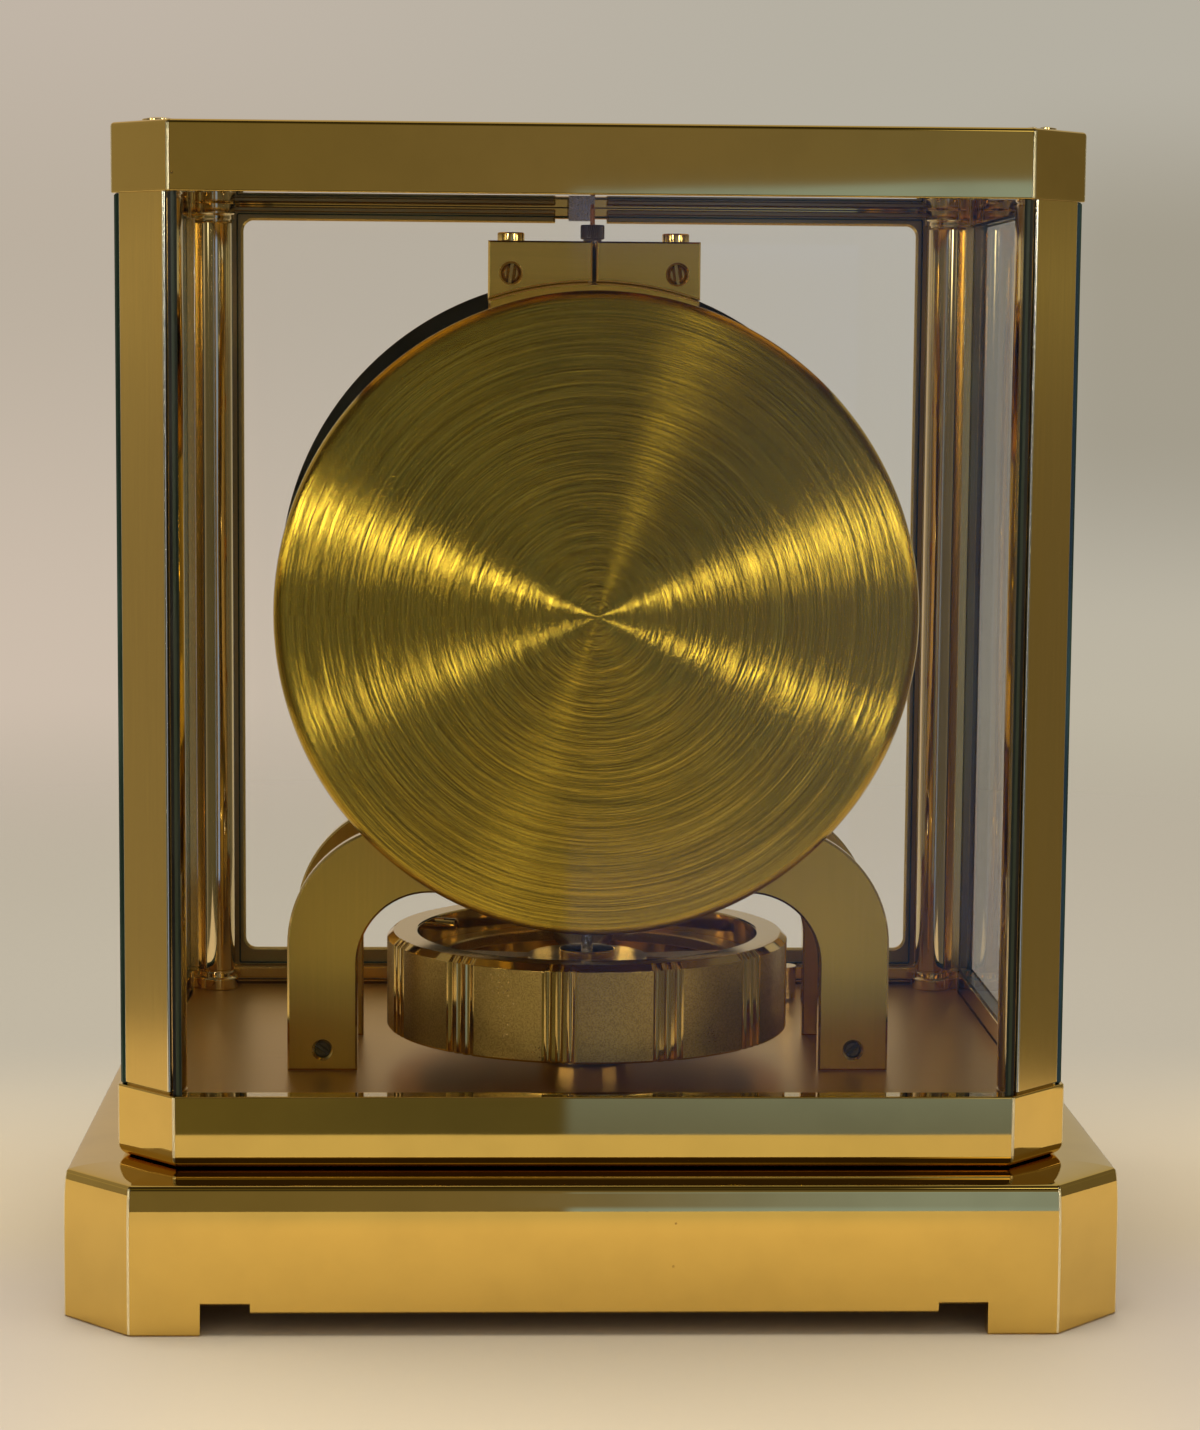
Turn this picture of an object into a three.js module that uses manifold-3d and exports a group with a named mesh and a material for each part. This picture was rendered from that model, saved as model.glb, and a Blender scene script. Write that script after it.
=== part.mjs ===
// Atmospheric clock: a torsion-balance clock in a glazed gilt case. A sealed capsule behind
// the movement swells and shrinks with the room's warmth and winds the mainspring.
// Millimetres, +Z up, origin on the table under the middle of the plinth.
// The bellows drum faces -Y and the dial faces +Y.
import * as THREE from "three";
import { mergeVertices } from "three/addons/utils/BufferGeometryUtils.js";
import Module from "manifold-3d";

// Clearances
const GAP = 0.3; // between pieces that are fitted together
const RUN = 0.2; // round a shaft that turns or slides

// Plinth
const PLINTH_WIDTH = 209;
const PLINTH_DEPTH = 165;
const PLINTH_HEIGHT = 30.4;
const PLINTH_CORNER = 14;
const PLINTH_EDGE = 3;
const PLINTH_WALL = 4;
const PLINTH_DECK = 5;
const APRON_LIFT = 4.5;
const NOTCH_LIFT = 6.2;
const NOTCH_LENGTH = 9.7;
const FOOT_LENGTH = 13.8;

// Glazed case
const CASE_MARGIN = 10; // plinth showing round the case
const CASE_CORNER = 12;
const RIM_HEIGHT = 14.6;
const RIM_EDGE = 2.8;
const FRAME_WALL = 4.2; // rim and cap along the sides
const CORNER_WALL = 2; // rim and cap behind the corner posts
const RIM_LEDGE = 8; // shelf that carries the floor plate
const FLOOR_THICKNESS = 4;
const FLOOR_DROP = 4.6; // floor below the top of the rim
const HEADROOM = 2.9; // from the top of the pin to the cap's ceiling
const CAP_HEIGHT = 13.5;
const CAP_EDGE = 0.9;
const CAP_RECESS = 3.6;
const GLASS = 3;
const GLASS_INSET = 0.6; // glass behind the face of the rim
const POST_INSET = 1.2;
const POST_CHAMFER = 10.4;
const POST_THICKNESS = 3;
const COLUMN_RADIUS = 3.7;
const COLUMN_SETBACK = 5.4; // column axis behind the face of its post
const TOP_SCREW_RADIUS = 3.2;
const TOP_SCREW_DOME = 0.95;
const TOP_SCREW_INSET = 9.6;

// Door on the dial side: it lifts out of its groove
const DOOR_THICKNESS = 3;
const DOOR_LIP = 2.4; // rim and cap in front of the door
const DOOR_STILE = 3.6;
const DOOR_BOTTOM_RAIL = 7.5;
const DOOR_TOP_RAIL = 3.1;
const DOOR_LIFT = 4;
const DOOR_GLASS = 2;
const DOOR_CORNER = 2.5;
const DOOR_SEAT = 0.6; // groove bottom above the floor plate
const FINGER_NOTCH = 12;
const FINGER_LIFT = 1; // relief in the cap over the notch in the door
const CATCH_WIDTH = 6;
const CATCH_DEPTH = 3.7;

// Movement stand
const DRUM_OVER_BALANCE = 7.1;
const PLATE = 4;
const PLATE_SPACING = 35.5;
const LEG_TUCK = 0.6; // legs inside the sides of the drum
const LEG_WIDTH = 14.6;
const ARCH_OVER_BALANCE = 10;
const ARCH_RADIUS = 15;
const SHOULDER_HEIGHT = 26.6;
const SHOULDER_RADIUS = 25.3;
const BODY_WIDTH = 84;
const BODY_RISE = 39.4; // above the hand axis
const NECK_WIDTH = 43.4;
const NECK_STEP = 20.5;
const FOOT_BAR_WIDTH = 7.5;
const FOOT_BAR_HEIGHT = 8.6;
const LEG_SCREW_HEIGHT = 4.4;
const SCREW_HEAD = 2.2;
const SCREW_SHANK = 1.4;
const HEAD_DEPTH = 1.8;

// Suspension
const BALANCE_SETBACK = 14; // hanging axis in front of the rear plate's face
const BRACKET_CLEARANCE = 2.4; // round the drum
const BRACKET_RISE = 10.5; // above the drum
const BRACKET_SLOT = 2.2;
const BRACKET_SCREW_X = 17;
const BRACKET_SCREW_DROP = 6.6;
const CAP_HEAD = 2.8;
const CAP_HEAD_HEIGHT = 1.9;
const CAP_HEAD_SETBACK = 8;
const CAP_SHANK_LENGTH = 4.2;
const TUBE_RADIUS = 0.8;
const NUT_RADIUS = 2.4;
const NUT_HEIGHT = 3;
const NUT_COLLAR = 1.9;
const NUT_COLLAR_HEIGHT = 0.8;
const PIN_RADIUS = 0.5;
const PIN_LENGTH = 4.2;

// Balance
const BALANCE_RADIUS = 42.5;
const BALANCE_WALL = 6.5;
const BALANCE_BOTTOM = 7.5; // above the floor plate
const BALANCE_HEIGHT = 20.1;
const BALANCE_BEVEL = 1.3;
const WEB_DROP = 5.5;
const WEB = 2.5;
const HUB_RADIUS = 6;
const HUB_RISE = 1.5; // above the web
const FLUTE_GROUPS = 12;
const FLUTE_TURN = -9.2; // degrees from the rear to the first group
const FLUTE_PITCH = 2.3;
const FLUTE_WIDTH = 1.6;
const FLUTE_DEPTH = 0.5;
const WINDOWS = 4;
const WINDOW_INNER = 13;
const WINDOW_OUTER = 31;
const WINDOW_SPAN = 66; // degrees
const STAFF_RADIUS = 1.2;
const STAFF_RISE = 25.7; // above the balance
const ROLLER_RADIUS = 5.5;
const ROLLER_RISE = 8.4; // above the balance
const ROLLER_THICKNESS = 1.6;
const IMPULSE_OFFSET = 3.5;
const IMPULSE_PIN = 1;

// Bellows
const DRUM_RADIUS = 63.5;
const DRUM_DEPTH = 34.7;
const DRUM_CLEARANCE = 5.9; // in front of the rear glass
const DRUM_SKIN = 2;
const DRUM_EDGE = 2.4;
const MOUNT_WIDTH = 10;
const MOUNT_DEPTH = 5;
const CAPSULE_RADIUS = 52;
const CAPSULE_NECK = 44;
const CAPSULE_LENGTH = 14;
const CAPSULE_FOLDS = 3;
const PRESS_PLATE = 2;
const PRESS_RADIUS = 50;
const PRESS_POST = 4;
const PRESS_POST_LENGTH = 24;
const SPRING_RADIUS = 30;
const SPRING_WIRE = 0.9; // radius
const SPRING_TURNS = 4;

// Winding
const HOOK_RADIUS = 1;
const GUIDE_RADIUS = 3.5;
const GUIDE_WIDTH = 2;
const GUIDE_SETBACK = 11.5;
const GUIDE_RISE = 3.4; // above the hand axis
const CHAIN_RADIUS = 0.8;
const RATCHET_RADIUS = 9;
const RATCHET_TEETH = 24;
const RATCHET_THICKNESS = 1.8;
const PULLEY_RADIUS = 6;
const PULLEY_WIDTH = 3.2;
const CLICK_X = 13; // pivot from the barrel's axis
const CLICK_Z = 5;

// Going train, between the bridge and the front plate
const BRIDGE_SETBACK = 20;
const BRIDGE = 2.5;
const BRIDGE_PILLAR = 2.5;
const BRIDGE_MARGIN = 4.6; // round its pillars and pivots
const LEFT_PILLAR_REACH = 35.3; // from the hand axis
const LEFT_PILLAR_BEARING = 212; // degrees
const RIGHT_PILLAR_REACH = 28.4;
const RIGHT_PILLAR_BEARING = 28;
const LOWER_PILLAR_REACH = 50.2;
const LOWER_PILLAR_BEARING = 251.5;
const PRESSURE_ANGLE = THREE.MathUtils.degToRad(20);
const ADDENDUM = 0.8; // in modules
const DEDENDUM = 1.15;
const TOOTH_SHARE = 0.8; // of half the pitch
const BARREL_TEETH = 48;
const CENTRE_PINION_TEETH = 12;
const CENTRE_TEETH = 36;
const THIRD_PINION_TEETH = 18;
const THIRD_TEETH = 36;
const ESCAPE_PINION_TEETH = 18;
const ESCAPE_TEETH = 15;
const BARREL_MODULE = 5 / 6;
const CENTRE_MODULE = 5 / 6;
const THIRD_MODULE = 0.75;
const BARREL_BEARING = 140; // degrees, from the hand axis to the barrel
const BARREL_DRUM = 16.5;
const BARREL_DEPTH = 7.2;
const BARREL_WALL = 1.2;
const BARREL_ARBOR = 2;
const SPRING_BLADE = 0.9;
const SPRING_COILS = 4;
const WHEEL = 1.7;
const ARBOR = 1;
const CENTRE_ARBOR = 1.6;
const ESCAPE_RADIUS = 9;
const ANCHOR_DROP = 45.6; // below the hand axis
const ANCHOR_REACH = 12.73; // from the anchor to the escape wheel
const PALLET_REACH = 10.6;
const PALLET_SPREAD = 48; // degrees each side of the anchor
const PALLET_ARM = 1.2;
const FORK_WIDTH = 4.2;
const FORK_SLOT = 1.8;

// Dial side
const CANNON_TEETH = 12;
const MINUTE_TEETH = 36;
const MINUTE_PINION_TEETH = 10;
const HOUR_TEETH = 40;
const MOTION_MODULE = 5 / 6;
const DIAL_RADIUS = 68;
const DIAL_OPENING = 50;
const DIAL_THICKNESS = 2;
const DIAL_STANDOFF = 23.5;
const DIAL_FOOT = 2.2;
const DIAL_FOOT_REACH = 52.5;
const BATON_LENGTH = 11;
const BATON_WIDTH = 2.6;
const BATON_RAISE = 0.8;
const HOUR_PIPE = 3;
const HAND_THICKNESS = 1;
const HOUR_HAND_LENGTH = 40;
const HOUR_HAND_WIDTH = 3.4;
const HOUR_HUB = 5;
const MINUTE_HAND_LENGTH = 55;
const MINUTE_HAND_WIDTH = 2.6;
const MINUTE_HUB = 4;
const HOUR_SHOWN = 10;
const MINUTE_SHOWN = 10;

// Levelling and locking
const WHEEL_INSET = 32.5;
const THUMB_RADIUS = 9;
const THUMB_THICKNESS = 4;
const THUMB_LIFT = 1.6;
const LEVEL_SCREW = 2.9;
const LEVEL_SCREW_LENGTH = 20;
const LEVEL_PAD = 6;
const LEVEL_PAD_HEIGHT = 1.2;
const LEVEL_BOSS = 7;
const LEVER_X = 26;
const LEVER_SETBACK = 16.8; // behind the door
const LEVER_LENGTH = 22;
const LEVER_THICKNESS = 2.4;
const LEVER_WIDTH = 3.6;
const LEVER_HUB = 4.5;
const KNOB_RADIUS = 3;
const KNOB_HEIGHT = 5;
const STEM_RADIUS = 2;
const STEM_LENGTH = 8;
const LOCK_PLATE_RADIUS = 10;
const LOCK_PLATE_THICKNESS = 2;
const LEVEL_RADIUS = 8;
const LEVEL_HEIGHT = 5;
const LEVEL_SETBACK = 12.8; // behind the door

// Places worked out from the sizes
const plinthX = PLINTH_WIDTH / 2;
const plinthY = PLINTH_DEPTH / 2;
const caseX = plinthX - CASE_MARGIN;
const caseY = plinthY - CASE_MARGIN;
const rimTop = PLINTH_HEIGHT + RIM_HEIGHT;
const floorTop = rimTop - FLOOR_DROP;
const floorBottom = floorTop - FLOOR_THICKNESS;
const cornerLine = caseX + caseY - CASE_CORNER; // |x| + |y| on the rim's corner face
const innerCorner = cornerLine - CORNER_WALL * Math.SQRT2;
const doorOuterY = caseY - DOOR_LIP - GAP;
const doorInnerY = doorOuterY - DOOR_THICKNESS;
const doorBottom = floorTop + DOOR_SEAT + GAP;
const leverY = doorInnerY - LEVER_SETBACK;
const levelY = doorInnerY - LEVEL_SETBACK;
const drumFaceY = DRUM_CLEARANCE + GLASS + GLASS_INSET - caseY;
const rearPlateY = drumFaceY + DRUM_DEPTH + GAP;
const frontPlateY = rearPlateY + PLATE_SPACING;
const balanceY = rearPlateY + BALANCE_SETBACK;
const balanceZ = floorTop + BALANCE_BOTTOM;
const balanceTop = balanceZ + BALANCE_HEIGHT;
const centreZ = balanceTop + DRUM_OVER_BALANCE + DRUM_RADIUS;
const standTopZ = centreZ + DRUM_RADIUS + BRACKET_RISE;
const bracketArc = DRUM_RADIUS + BRACKET_CLEARANCE;
const pinTop = standTopZ + NUT_COLLAR_HEIGHT + NUT_HEIGHT + PIN_LENGTH;
const ceiling = pinTop + HEADROOM;
const capBottom = ceiling - CAP_RECESS;
const capTop = capBottom + CAP_HEIGHT;
const pressY = drumFaceY + DRUM_SKIN + GAP + CAPSULE_LENGTH + GAP;

const wasm = await Module();
wasm.setup();

// A closed geometry as a solid that can be joined and cut.
function solid(geometry) {
  const bare = geometry.index ? geometry.toNonIndexed() : geometry;
  bare.deleteAttribute("normal");
  bare.deleteAttribute("uv");
  const merged = mergeVertices(bare, 1e-4);
  const mesh = new wasm.Mesh({
    numProp: 3,
    vertProperties: merged.attributes.position.array,
    triVerts: new Uint32Array(merged.index.array),
  });
  return new wasm.Manifold(mesh);
}

// A solid's faces as a geometry with flat shading.
function geometryOf(body) {
  const mesh = body.getMesh();
  const geometry = new THREE.BufferGeometry();
  geometry.setAttribute("position", new THREE.BufferAttribute(mesh.vertProperties, 3));
  geometry.setIndex(new THREE.BufferAttribute(mesh.triVerts, 1));
  const flat = geometry.toNonIndexed();
  flat.computeVertexNormals();
  return flat;
}

const join = (first, ...others) => others.reduce((body, other) => body.add(other), first);
const cut = (first, ...others) => others.reduce((body, other) => body.subtract(other), first);

function block(x0, x1, y0, y1, z0, z1) {
  const box = new THREE.BoxGeometry(x1 - x0, y1 - y0, z1 - z0);
  return solid(box.translate((x0 + x1) / 2, (y0 + y1) / 2, (z0 + z1) / 2));
}

// Turns a geometry made along Y so that it lies along the named axis.
function lay(geometry, axis) {
  if (axis === "x") geometry.rotateZ(-Math.PI / 2);
  if (axis === "z") geometry.rotateX(Math.PI / 2);
  return geometry;
}

// A round bar along an axis from a to b, through the point x, y, z on that axis.
function bar(axis, radius, a, b, x = 0, y = 0, z = 0, sides = 20) {
  const cylinder = new THREE.CylinderGeometry(radius, radius, b - a, sides);
  cylinder.translate(0, (a + b) / 2, 0);
  return solid(lay(cylinder, axis).translate(x, y, z));
}

// A turned piece: pairs of radius and height, from the lower end up.
function turned(axis, profile, sides = 32) {
  const points = profile.map(([radius, height]) => new THREE.Vector2(radius, height));
  return solid(lay(new THREE.LatheGeometry(points, sides), axis));
}

function outline(points) {
  return new THREE.Shape(points.map(([x, y]) => new THREE.Vector2(x, y)));
}

function circlePath(radius, x = 0, y = 0) {
  const path = new THREE.Path();
  path.absarc(x, y, radius, 0, 2 * Math.PI, true);
  return path;
}

// A plate drawn in X and Z that runs from y0 to y1.
function plateY(shape, y0, y1, curveSegments = 6) {
  const options = { depth: y1 - y0, bevelEnabled: false, curveSegments };
  const extruded = new THREE.ExtrudeGeometry(shape, options);
  return solid(extruded.rotateX(Math.PI / 2).translate(0, y1, 0));
}

function plateZ(shape, z0, z1, curveSegments = 6) {
  const options = { depth: z1 - z0, bevelEnabled: false, curveSegments };
  return solid(new THREE.ExtrudeGeometry(shape, options).translate(0, 0, z0));
}

// Half widths x and y, and the value of |x| + |y| on the cut corners.
function octagon(x, y, corner) {
  const cx = corner - y;
  const cy = corner - x;
  return outline([
    [cx, -y], [x, -cy], [x, cy], [cx, y], [-cx, y], [-x, cy], [-x, -cy], [-cx, -y],
  ]);
}

// An upright prism with rounded lower and upper edges.
function roundedPrism(shape, z0, z1, lower, upper) {
  const rounded = (radius, from, to) => {
    const options = {
      depth: to - from - 2 * radius,
      bevelThickness: radius,
      bevelSize: radius,
      bevelOffset: -radius,
      bevelSegments: 3,
    };
    return solid(new THREE.ExtrudeGeometry(shape, options).translate(0, 0, from + radius));
  };
  return rounded(lower, z0, z1 + 2 * lower).intersect(rounded(upper, z0 - 2 * upper, z1));
}

// Colours taken from the photograph, as materials.
const metal = (color, roughness) => ({ color, roughness, metalness: 1 });
const GILT = metal(0xd2a557, 0.12);
const SATIN = metal(0x9a7c35, 0.36);
const BRUSHED = metal(0xa88a45, 0.3);
const STEEL = metal(0x8f8f8c, 0.3);
const DARK = metal(0x4a3d31, 0.4);
const PANE = { color: 0xcfd8d2, roughness: 0.03, metalness: 0, transparent: true, opacity: 0.25 };

const clock = new THREE.Group();

function assembly() {
  const group = new THREE.Group();
  clock.add(group);
  return group;
}

function add(group, name, body, look, x = 0, y = 0, z = 0) {
  const mesh = new THREE.Mesh(geometryOf(body), new THREE.MeshStandardMaterial(look));
  mesh.name = name;
  mesh.position.set(x, y, z);
  group.add(mesh);
  return mesh;
}

const SIDES = [
  ["left", -1],
  ["right", 1],
];

// Plinth: a hollow gilt casting on four corner feet, with finger notches beside them.
const thumbY = plinthY - PLINTH_WALL - 2 * RUN - THUMB_RADIUS;
const wheelX = plinthX - WHEEL_INSET;
function plinth() {
  const corner = plinthX + plinthY - PLINTH_CORNER;
  const wallX = plinthX - PLINTH_WALL;
  const wallY = plinthY - PLINTH_WALL;
  const inside = octagon(wallX, wallY, corner - PLINTH_WALL * Math.SQRT2);
  const outside = roundedPrism(octagon(plinthX, plinthY, corner), -2 * PLINTH_EDGE,
    PLINTH_HEIGHT, PLINTH_EDGE, PLINTH_EDGE);
  const below = block(-plinthX, plinthX, -plinthY, plinthY, -3 * PLINTH_EDGE, 0);
  let body = cut(outside, below, plateZ(inside, -1, PLINTH_HEIGHT - PLINTH_DECK));
  const notchX = plinthX - PLINTH_CORNER - FOOT_LENGTH;
  const notchY = plinthY - PLINTH_CORNER - FOOT_LENGTH;
  const apronX = notchX - NOTCH_LENGTH;
  const apronY = notchY - NOTCH_LENGTH;
  body = cut(body,
    block(-apronX, apronX, -plinthY - 1, plinthY + 1, -1, APRON_LIFT),
    block(-plinthX - 1, plinthX + 1, -apronY, apronY, -1, APRON_LIFT));
  for (const [, side] of SIDES) {
    const x = side * (apronX + notchX) / 2;
    const y = side * (apronY + notchY) / 2;
    const half = NOTCH_LENGTH / 2;
    body = cut(body,
      block(x - half, x + half, -plinthY - 1, plinthY + 1, -1, NOTCH_LIFT),
      block(-plinthX - 1, plinthX + 1, y - half, y + half, -1, NOTCH_LIFT));
    const bossBottom = THUMB_LIFT + THUMB_THICKNESS + GAP;
    body = join(body, bar("z", LEVEL_BOSS, bossBottom, PLINTH_HEIGHT - PLINTH_DECK,
      side * wheelX, thumbY));
    body = cut(body, bar("z", LEVEL_SCREW + RUN, 0, LEVEL_SCREW_LENGTH + 1,
      side * wheelX, thumbY));
  }
  return body;
}

// Rim: the bottom frame of the case, with a ledge for the floor plate and the door's groove.
function caseRim() {
  const outer = octagon(caseX, caseY, cornerLine);
  const pocket = octagon(caseX - FRAME_WALL, caseY - FRAME_WALL, innerCorner);
  const ledge = RIM_LEDGE + FRAME_WALL;
  const well = octagon(caseX - ledge, caseY - ledge, innerCorner - RIM_LEDGE * Math.SQRT2);
  const grooveX = caseX - CASE_CORNER - GAP / 3;
  return cut(
    roundedPrism(outer, PLINTH_HEIGHT, rimTop, RIM_EDGE, GAP),
    plateZ(pocket, floorBottom, rimTop + 1),
    plateZ(well, PLINTH_HEIGHT - 1, floorBottom),
    block(-grooveX, grooveX, doorInnerY - GAP, doorOuterY + GAP, floorTop + DOOR_SEAT,
      rimTop + 1),
  );
}

function floorPlate() {
  const inset = FRAME_WALL + GAP;
  const corner = innerCorner - GAP * Math.SQRT2;
  const shape = octagon(caseX - inset, caseY - inset, corner);
  return cut(
    plateZ(shape, floorBottom, floorTop),
    block(-caseX, caseX, doorInnerY - GAP, caseY, floorBottom - 1, rimTop),
    bar("z", STEM_RADIUS + RUN, floorBottom - 1, floorTop + 1, LEVER_X, leverY),
    bar("z", STEM_RADIUS + RUN, floorBottom - 1, floorTop + 1, 0, balanceY),
  );
}

// One corner post: a flat strip outside and a polished round column inside it.
const postX = caseX - POST_INSET;
const postY = caseY - POST_INSET;
const postLine = postX + postY - POST_CHAMFER;
function cornerPost() {
  const inner = postLine - POST_THICKNESS * Math.SQRT2;
  const strip = outline([
    [postX, postLine - postX], [postLine - postY, postY],
    [postLine - postY, inner - (postLine - postY)], [inner - (postLine - postX), postLine - postX],
  ]);
  const back = COLUMN_SETBACK / Math.SQRT2;
  const middle = (postLine - POST_CHAMFER / 2 - postY);
  const x = middle + POST_CHAMFER / 2 + (postX - postLine + postY) / 2 - back;
  const y = postLine - (x + back) - back;
  return join(
    plateZ(strip, rimTop, capBottom),
    bar("z", COLUMN_RADIUS, floorTop, ceiling, x, y, 0, 18),
  );
}

// Cap: the solid gilt top, hollowed a little from below.
function topCap() {
  const wall = FRAME_WALL + RUN * 2;
  const grooveX = caseX - CASE_CORNER - GAP / 3;
  return cut(
    roundedPrism(octagon(caseX, caseY, cornerLine), capBottom, capTop, CAP_EDGE, CAP_EDGE),
    plateZ(octagon(caseX - wall, caseY - wall, innerCorner), capBottom - 1, ceiling),
    block(-grooveX, grooveX, doorInnerY - GAP, doorOuterY + GAP, capBottom - 1,
      doorTop + DOOR_LIFT + GAP),
    block(-FINGER_NOTCH / 2, FINGER_NOTCH / 2, doorInnerY, caseY + 1, capBottom - 1,
      capBottom + FINGER_LIFT),
  );
}

function topScrew() {
  const slot = TOP_SCREW_RADIUS / 6;
  const dome = turned("z", [
    [0, capTop], [TOP_SCREW_RADIUS, capTop], [TOP_SCREW_RADIUS, capTop + TOP_SCREW_DOME / 3],
    [TOP_SCREW_RADIUS * 0.75, capTop + TOP_SCREW_DOME * 0.8], [0, capTop + TOP_SCREW_DOME],
  ], 14);
  return cut(dome, block(-9, 9, -slot, slot, capTop + TOP_SCREW_DOME / 2, capTop + 9));
}

// Door: a rounded frame round its glass, held in the grooves of the rim and the cap.
const doorTop = capBottom + DOOR_TOP_RAIL;
const doorX = caseX - CASE_CORNER - GAP * 5 / 3;
const doorOpening = [doorX - DOOR_STILE, doorBottom + DOOR_BOTTOM_RAIL, capBottom];
function roundedRectangle(x, z0, z1, radius) {
  const shape = new THREE.Shape();
  const quarter = Math.PI / 2;
  shape.absarc(x - radius, z0 + radius, radius, -quarter, 0, false);
  shape.absarc(x - radius, z1 - radius, radius, 0, quarter, false);
  shape.absarc(-x + radius, z1 - radius, radius, quarter, 2 * quarter, false);
  shape.absarc(-x + radius, z0 + radius, radius, 2 * quarter, 3 * quarter, false);
  return shape;
}

function doorFrame() {
  const [x, z0, z1] = doorOpening;
  const shape = outline([
    [-doorX, doorBottom], [doorX, doorBottom], [doorX, doorTop], [-doorX, doorTop],
  ]);
  const notch = FINGER_NOTCH / 2;
  return cut(
    plateY(shape, doorInnerY, doorOuterY),
    plateY(roundedRectangle(x, z0, z1, DOOR_CORNER), doorInnerY - 1, doorOuterY + 1, 4),
    block(-notch, notch, doorInnerY - 1, doorOuterY + 1, capBottom - 1, doorTop + 1),
  );
}

function doorPane() {
  const [x, z0, z1] = doorOpening;
  const shape = roundedRectangle(x - GAP, z0 + GAP, z1 - GAP, DOOR_CORNER - GAP);
  const y = (doorInnerY + doorOuterY) / 2;
  return plateY(shape, y - DOOR_GLASS / 2, y + DOOR_GLASS / 2, 4);
}

function buildCase() {
  const group = assembly();
  add(group, "plinth", plinth(), GILT);
  add(group, "case_rim", caseRim(), GILT);
  add(group, "floor_plate", floorPlate(), BRUSHED);
  add(group, "top_cap", topCap(), GILT);
  const post = cornerPost();
  for (const [end, along] of [["rear", -1], ["front", 1]]) {
    for (const [side, across] of SIDES) {
      const mesh = add(group, `post_${end}_${side}`, post, SATIN);
      mesh.scale.set(across, along, 1);
      add(group, `top_screw_${end}_${side}`, topScrew(), GILT,
        across * (caseX - TOP_SCREW_INSET), along * (caseY - TOP_SCREW_INSET));
    }
  }
  const sideX = caseX - GLASS_INSET;
  const endY = caseY - GLASS_INSET;
  const paneY = postLine - postX - GAP;
  const paneX = postLine - postY - GAP;
  add(group, "rear_glass",
    block(-paneX, paneX, -endY, -endY + GLASS, rimTop, capBottom), PANE);
  add(group, "left_glass",
    block(-sideX, -sideX + GLASS, -paneY, paneY, rimTop, capBottom), PANE);
  add(group, "right_glass",
    block(sideX - GLASS, sideX, -paneY, paneY, rimTop, capBottom), PANE);
  add(group, "door_frame", doorFrame(), SATIN);
  add(group, "door_glass", doorPane(), PANE);
  const catchY = doorInnerY - GAP;
  add(group, "door_catch", block(-CATCH_WIDTH / 2, CATCH_WIDTH / 2, catchY - CATCH_DEPTH,
    catchY, capBottom + GAP, ceiling), STEEL);
}

// The arch-shaped outline that both plates share, up to a neck at the top.
function standOutline(top) {
  const out = legOuter;
  const inside = out - LEG_WIDTH;
  const body = BODY_WIDTH / 2;
  const neck = NECK_WIDTH / 2 - GAP / 2;
  const shoulderX = out - SHOULDER_RADIUS;
  const shoulderZ = floorTop + SHOULDER_HEIGHT;
  const end = Math.acos((body - shoulderX) / SHOULDER_RADIUS);
  const archZ = balanceTop + ARCH_OVER_BALANCE - ARCH_RADIUS;
  const bodyTop = centreZ + BODY_RISE;
  const shape = new THREE.Shape();
  shape.moveTo(inside, floorTop);
  shape.lineTo(out, floorTop);
  shape.absarc(shoulderX, shoulderZ, SHOULDER_RADIUS, 0, end, false);
  shape.lineTo(body, bodyTop);
  shape.lineTo(neck, bodyTop + NECK_STEP);
  shape.lineTo(neck, top);
  shape.lineTo(-neck, top);
  shape.lineTo(-neck, bodyTop + NECK_STEP);
  shape.lineTo(-body, bodyTop);
  shape.absarc(-shoulderX, shoulderZ, SHOULDER_RADIUS, Math.PI - end, Math.PI, false);
  shape.lineTo(-out, floorTop);
  shape.lineTo(-inside, floorTop);
  shape.absarc(-inside + ARCH_RADIUS, archZ, ARCH_RADIUS, Math.PI, Math.PI / 2, true);
  shape.absarc(inside - ARCH_RADIUS, archZ, ARCH_RADIUS, Math.PI / 2, 0, true);
  return shape;
}

const legOuter = DRUM_RADIUS - LEG_TUCK;
const legX = legOuter - LEG_WIDTH / 2;
const capHeadY = rearPlateY + CAP_HEAD_SETBACK;
const guideY = rearPlateY + GUIDE_SETBACK;
const screwHole = SCREW_SHANK + GAP;
const headHole = SCREW_HEAD + 2 * RUN;
const legScrewZ = floorTop + LEG_SCREW_HEIGHT;
const bracketScrewZ = standTopZ - BRACKET_SCREW_DROP;

// A countersunk bore for a screw whose head lies flush with the face at y0.
function screwBore(y0, y1, x, z) {
  return join(
    bar("y", screwHole, y0 - 1, y1, x, 0, z, 16),
    bar("y", headHole, y0 - 1, y0 + HEAD_DEPTH + GAP, x, 0, z, 16),
  );
}

function screw(length) {
  const slot = SCREW_HEAD / 6;
  return cut(
    join(bar("y", SCREW_HEAD, 0, HEAD_DEPTH, 0, 0, 0, 16),
      bar("y", SCREW_SHANK, 1, length, 0, 0, 0, 12)),
    block(-SCREW_HEAD, SCREW_HEAD, -1, HEAD_DEPTH / 2, -slot, slot),
  );
}

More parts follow.
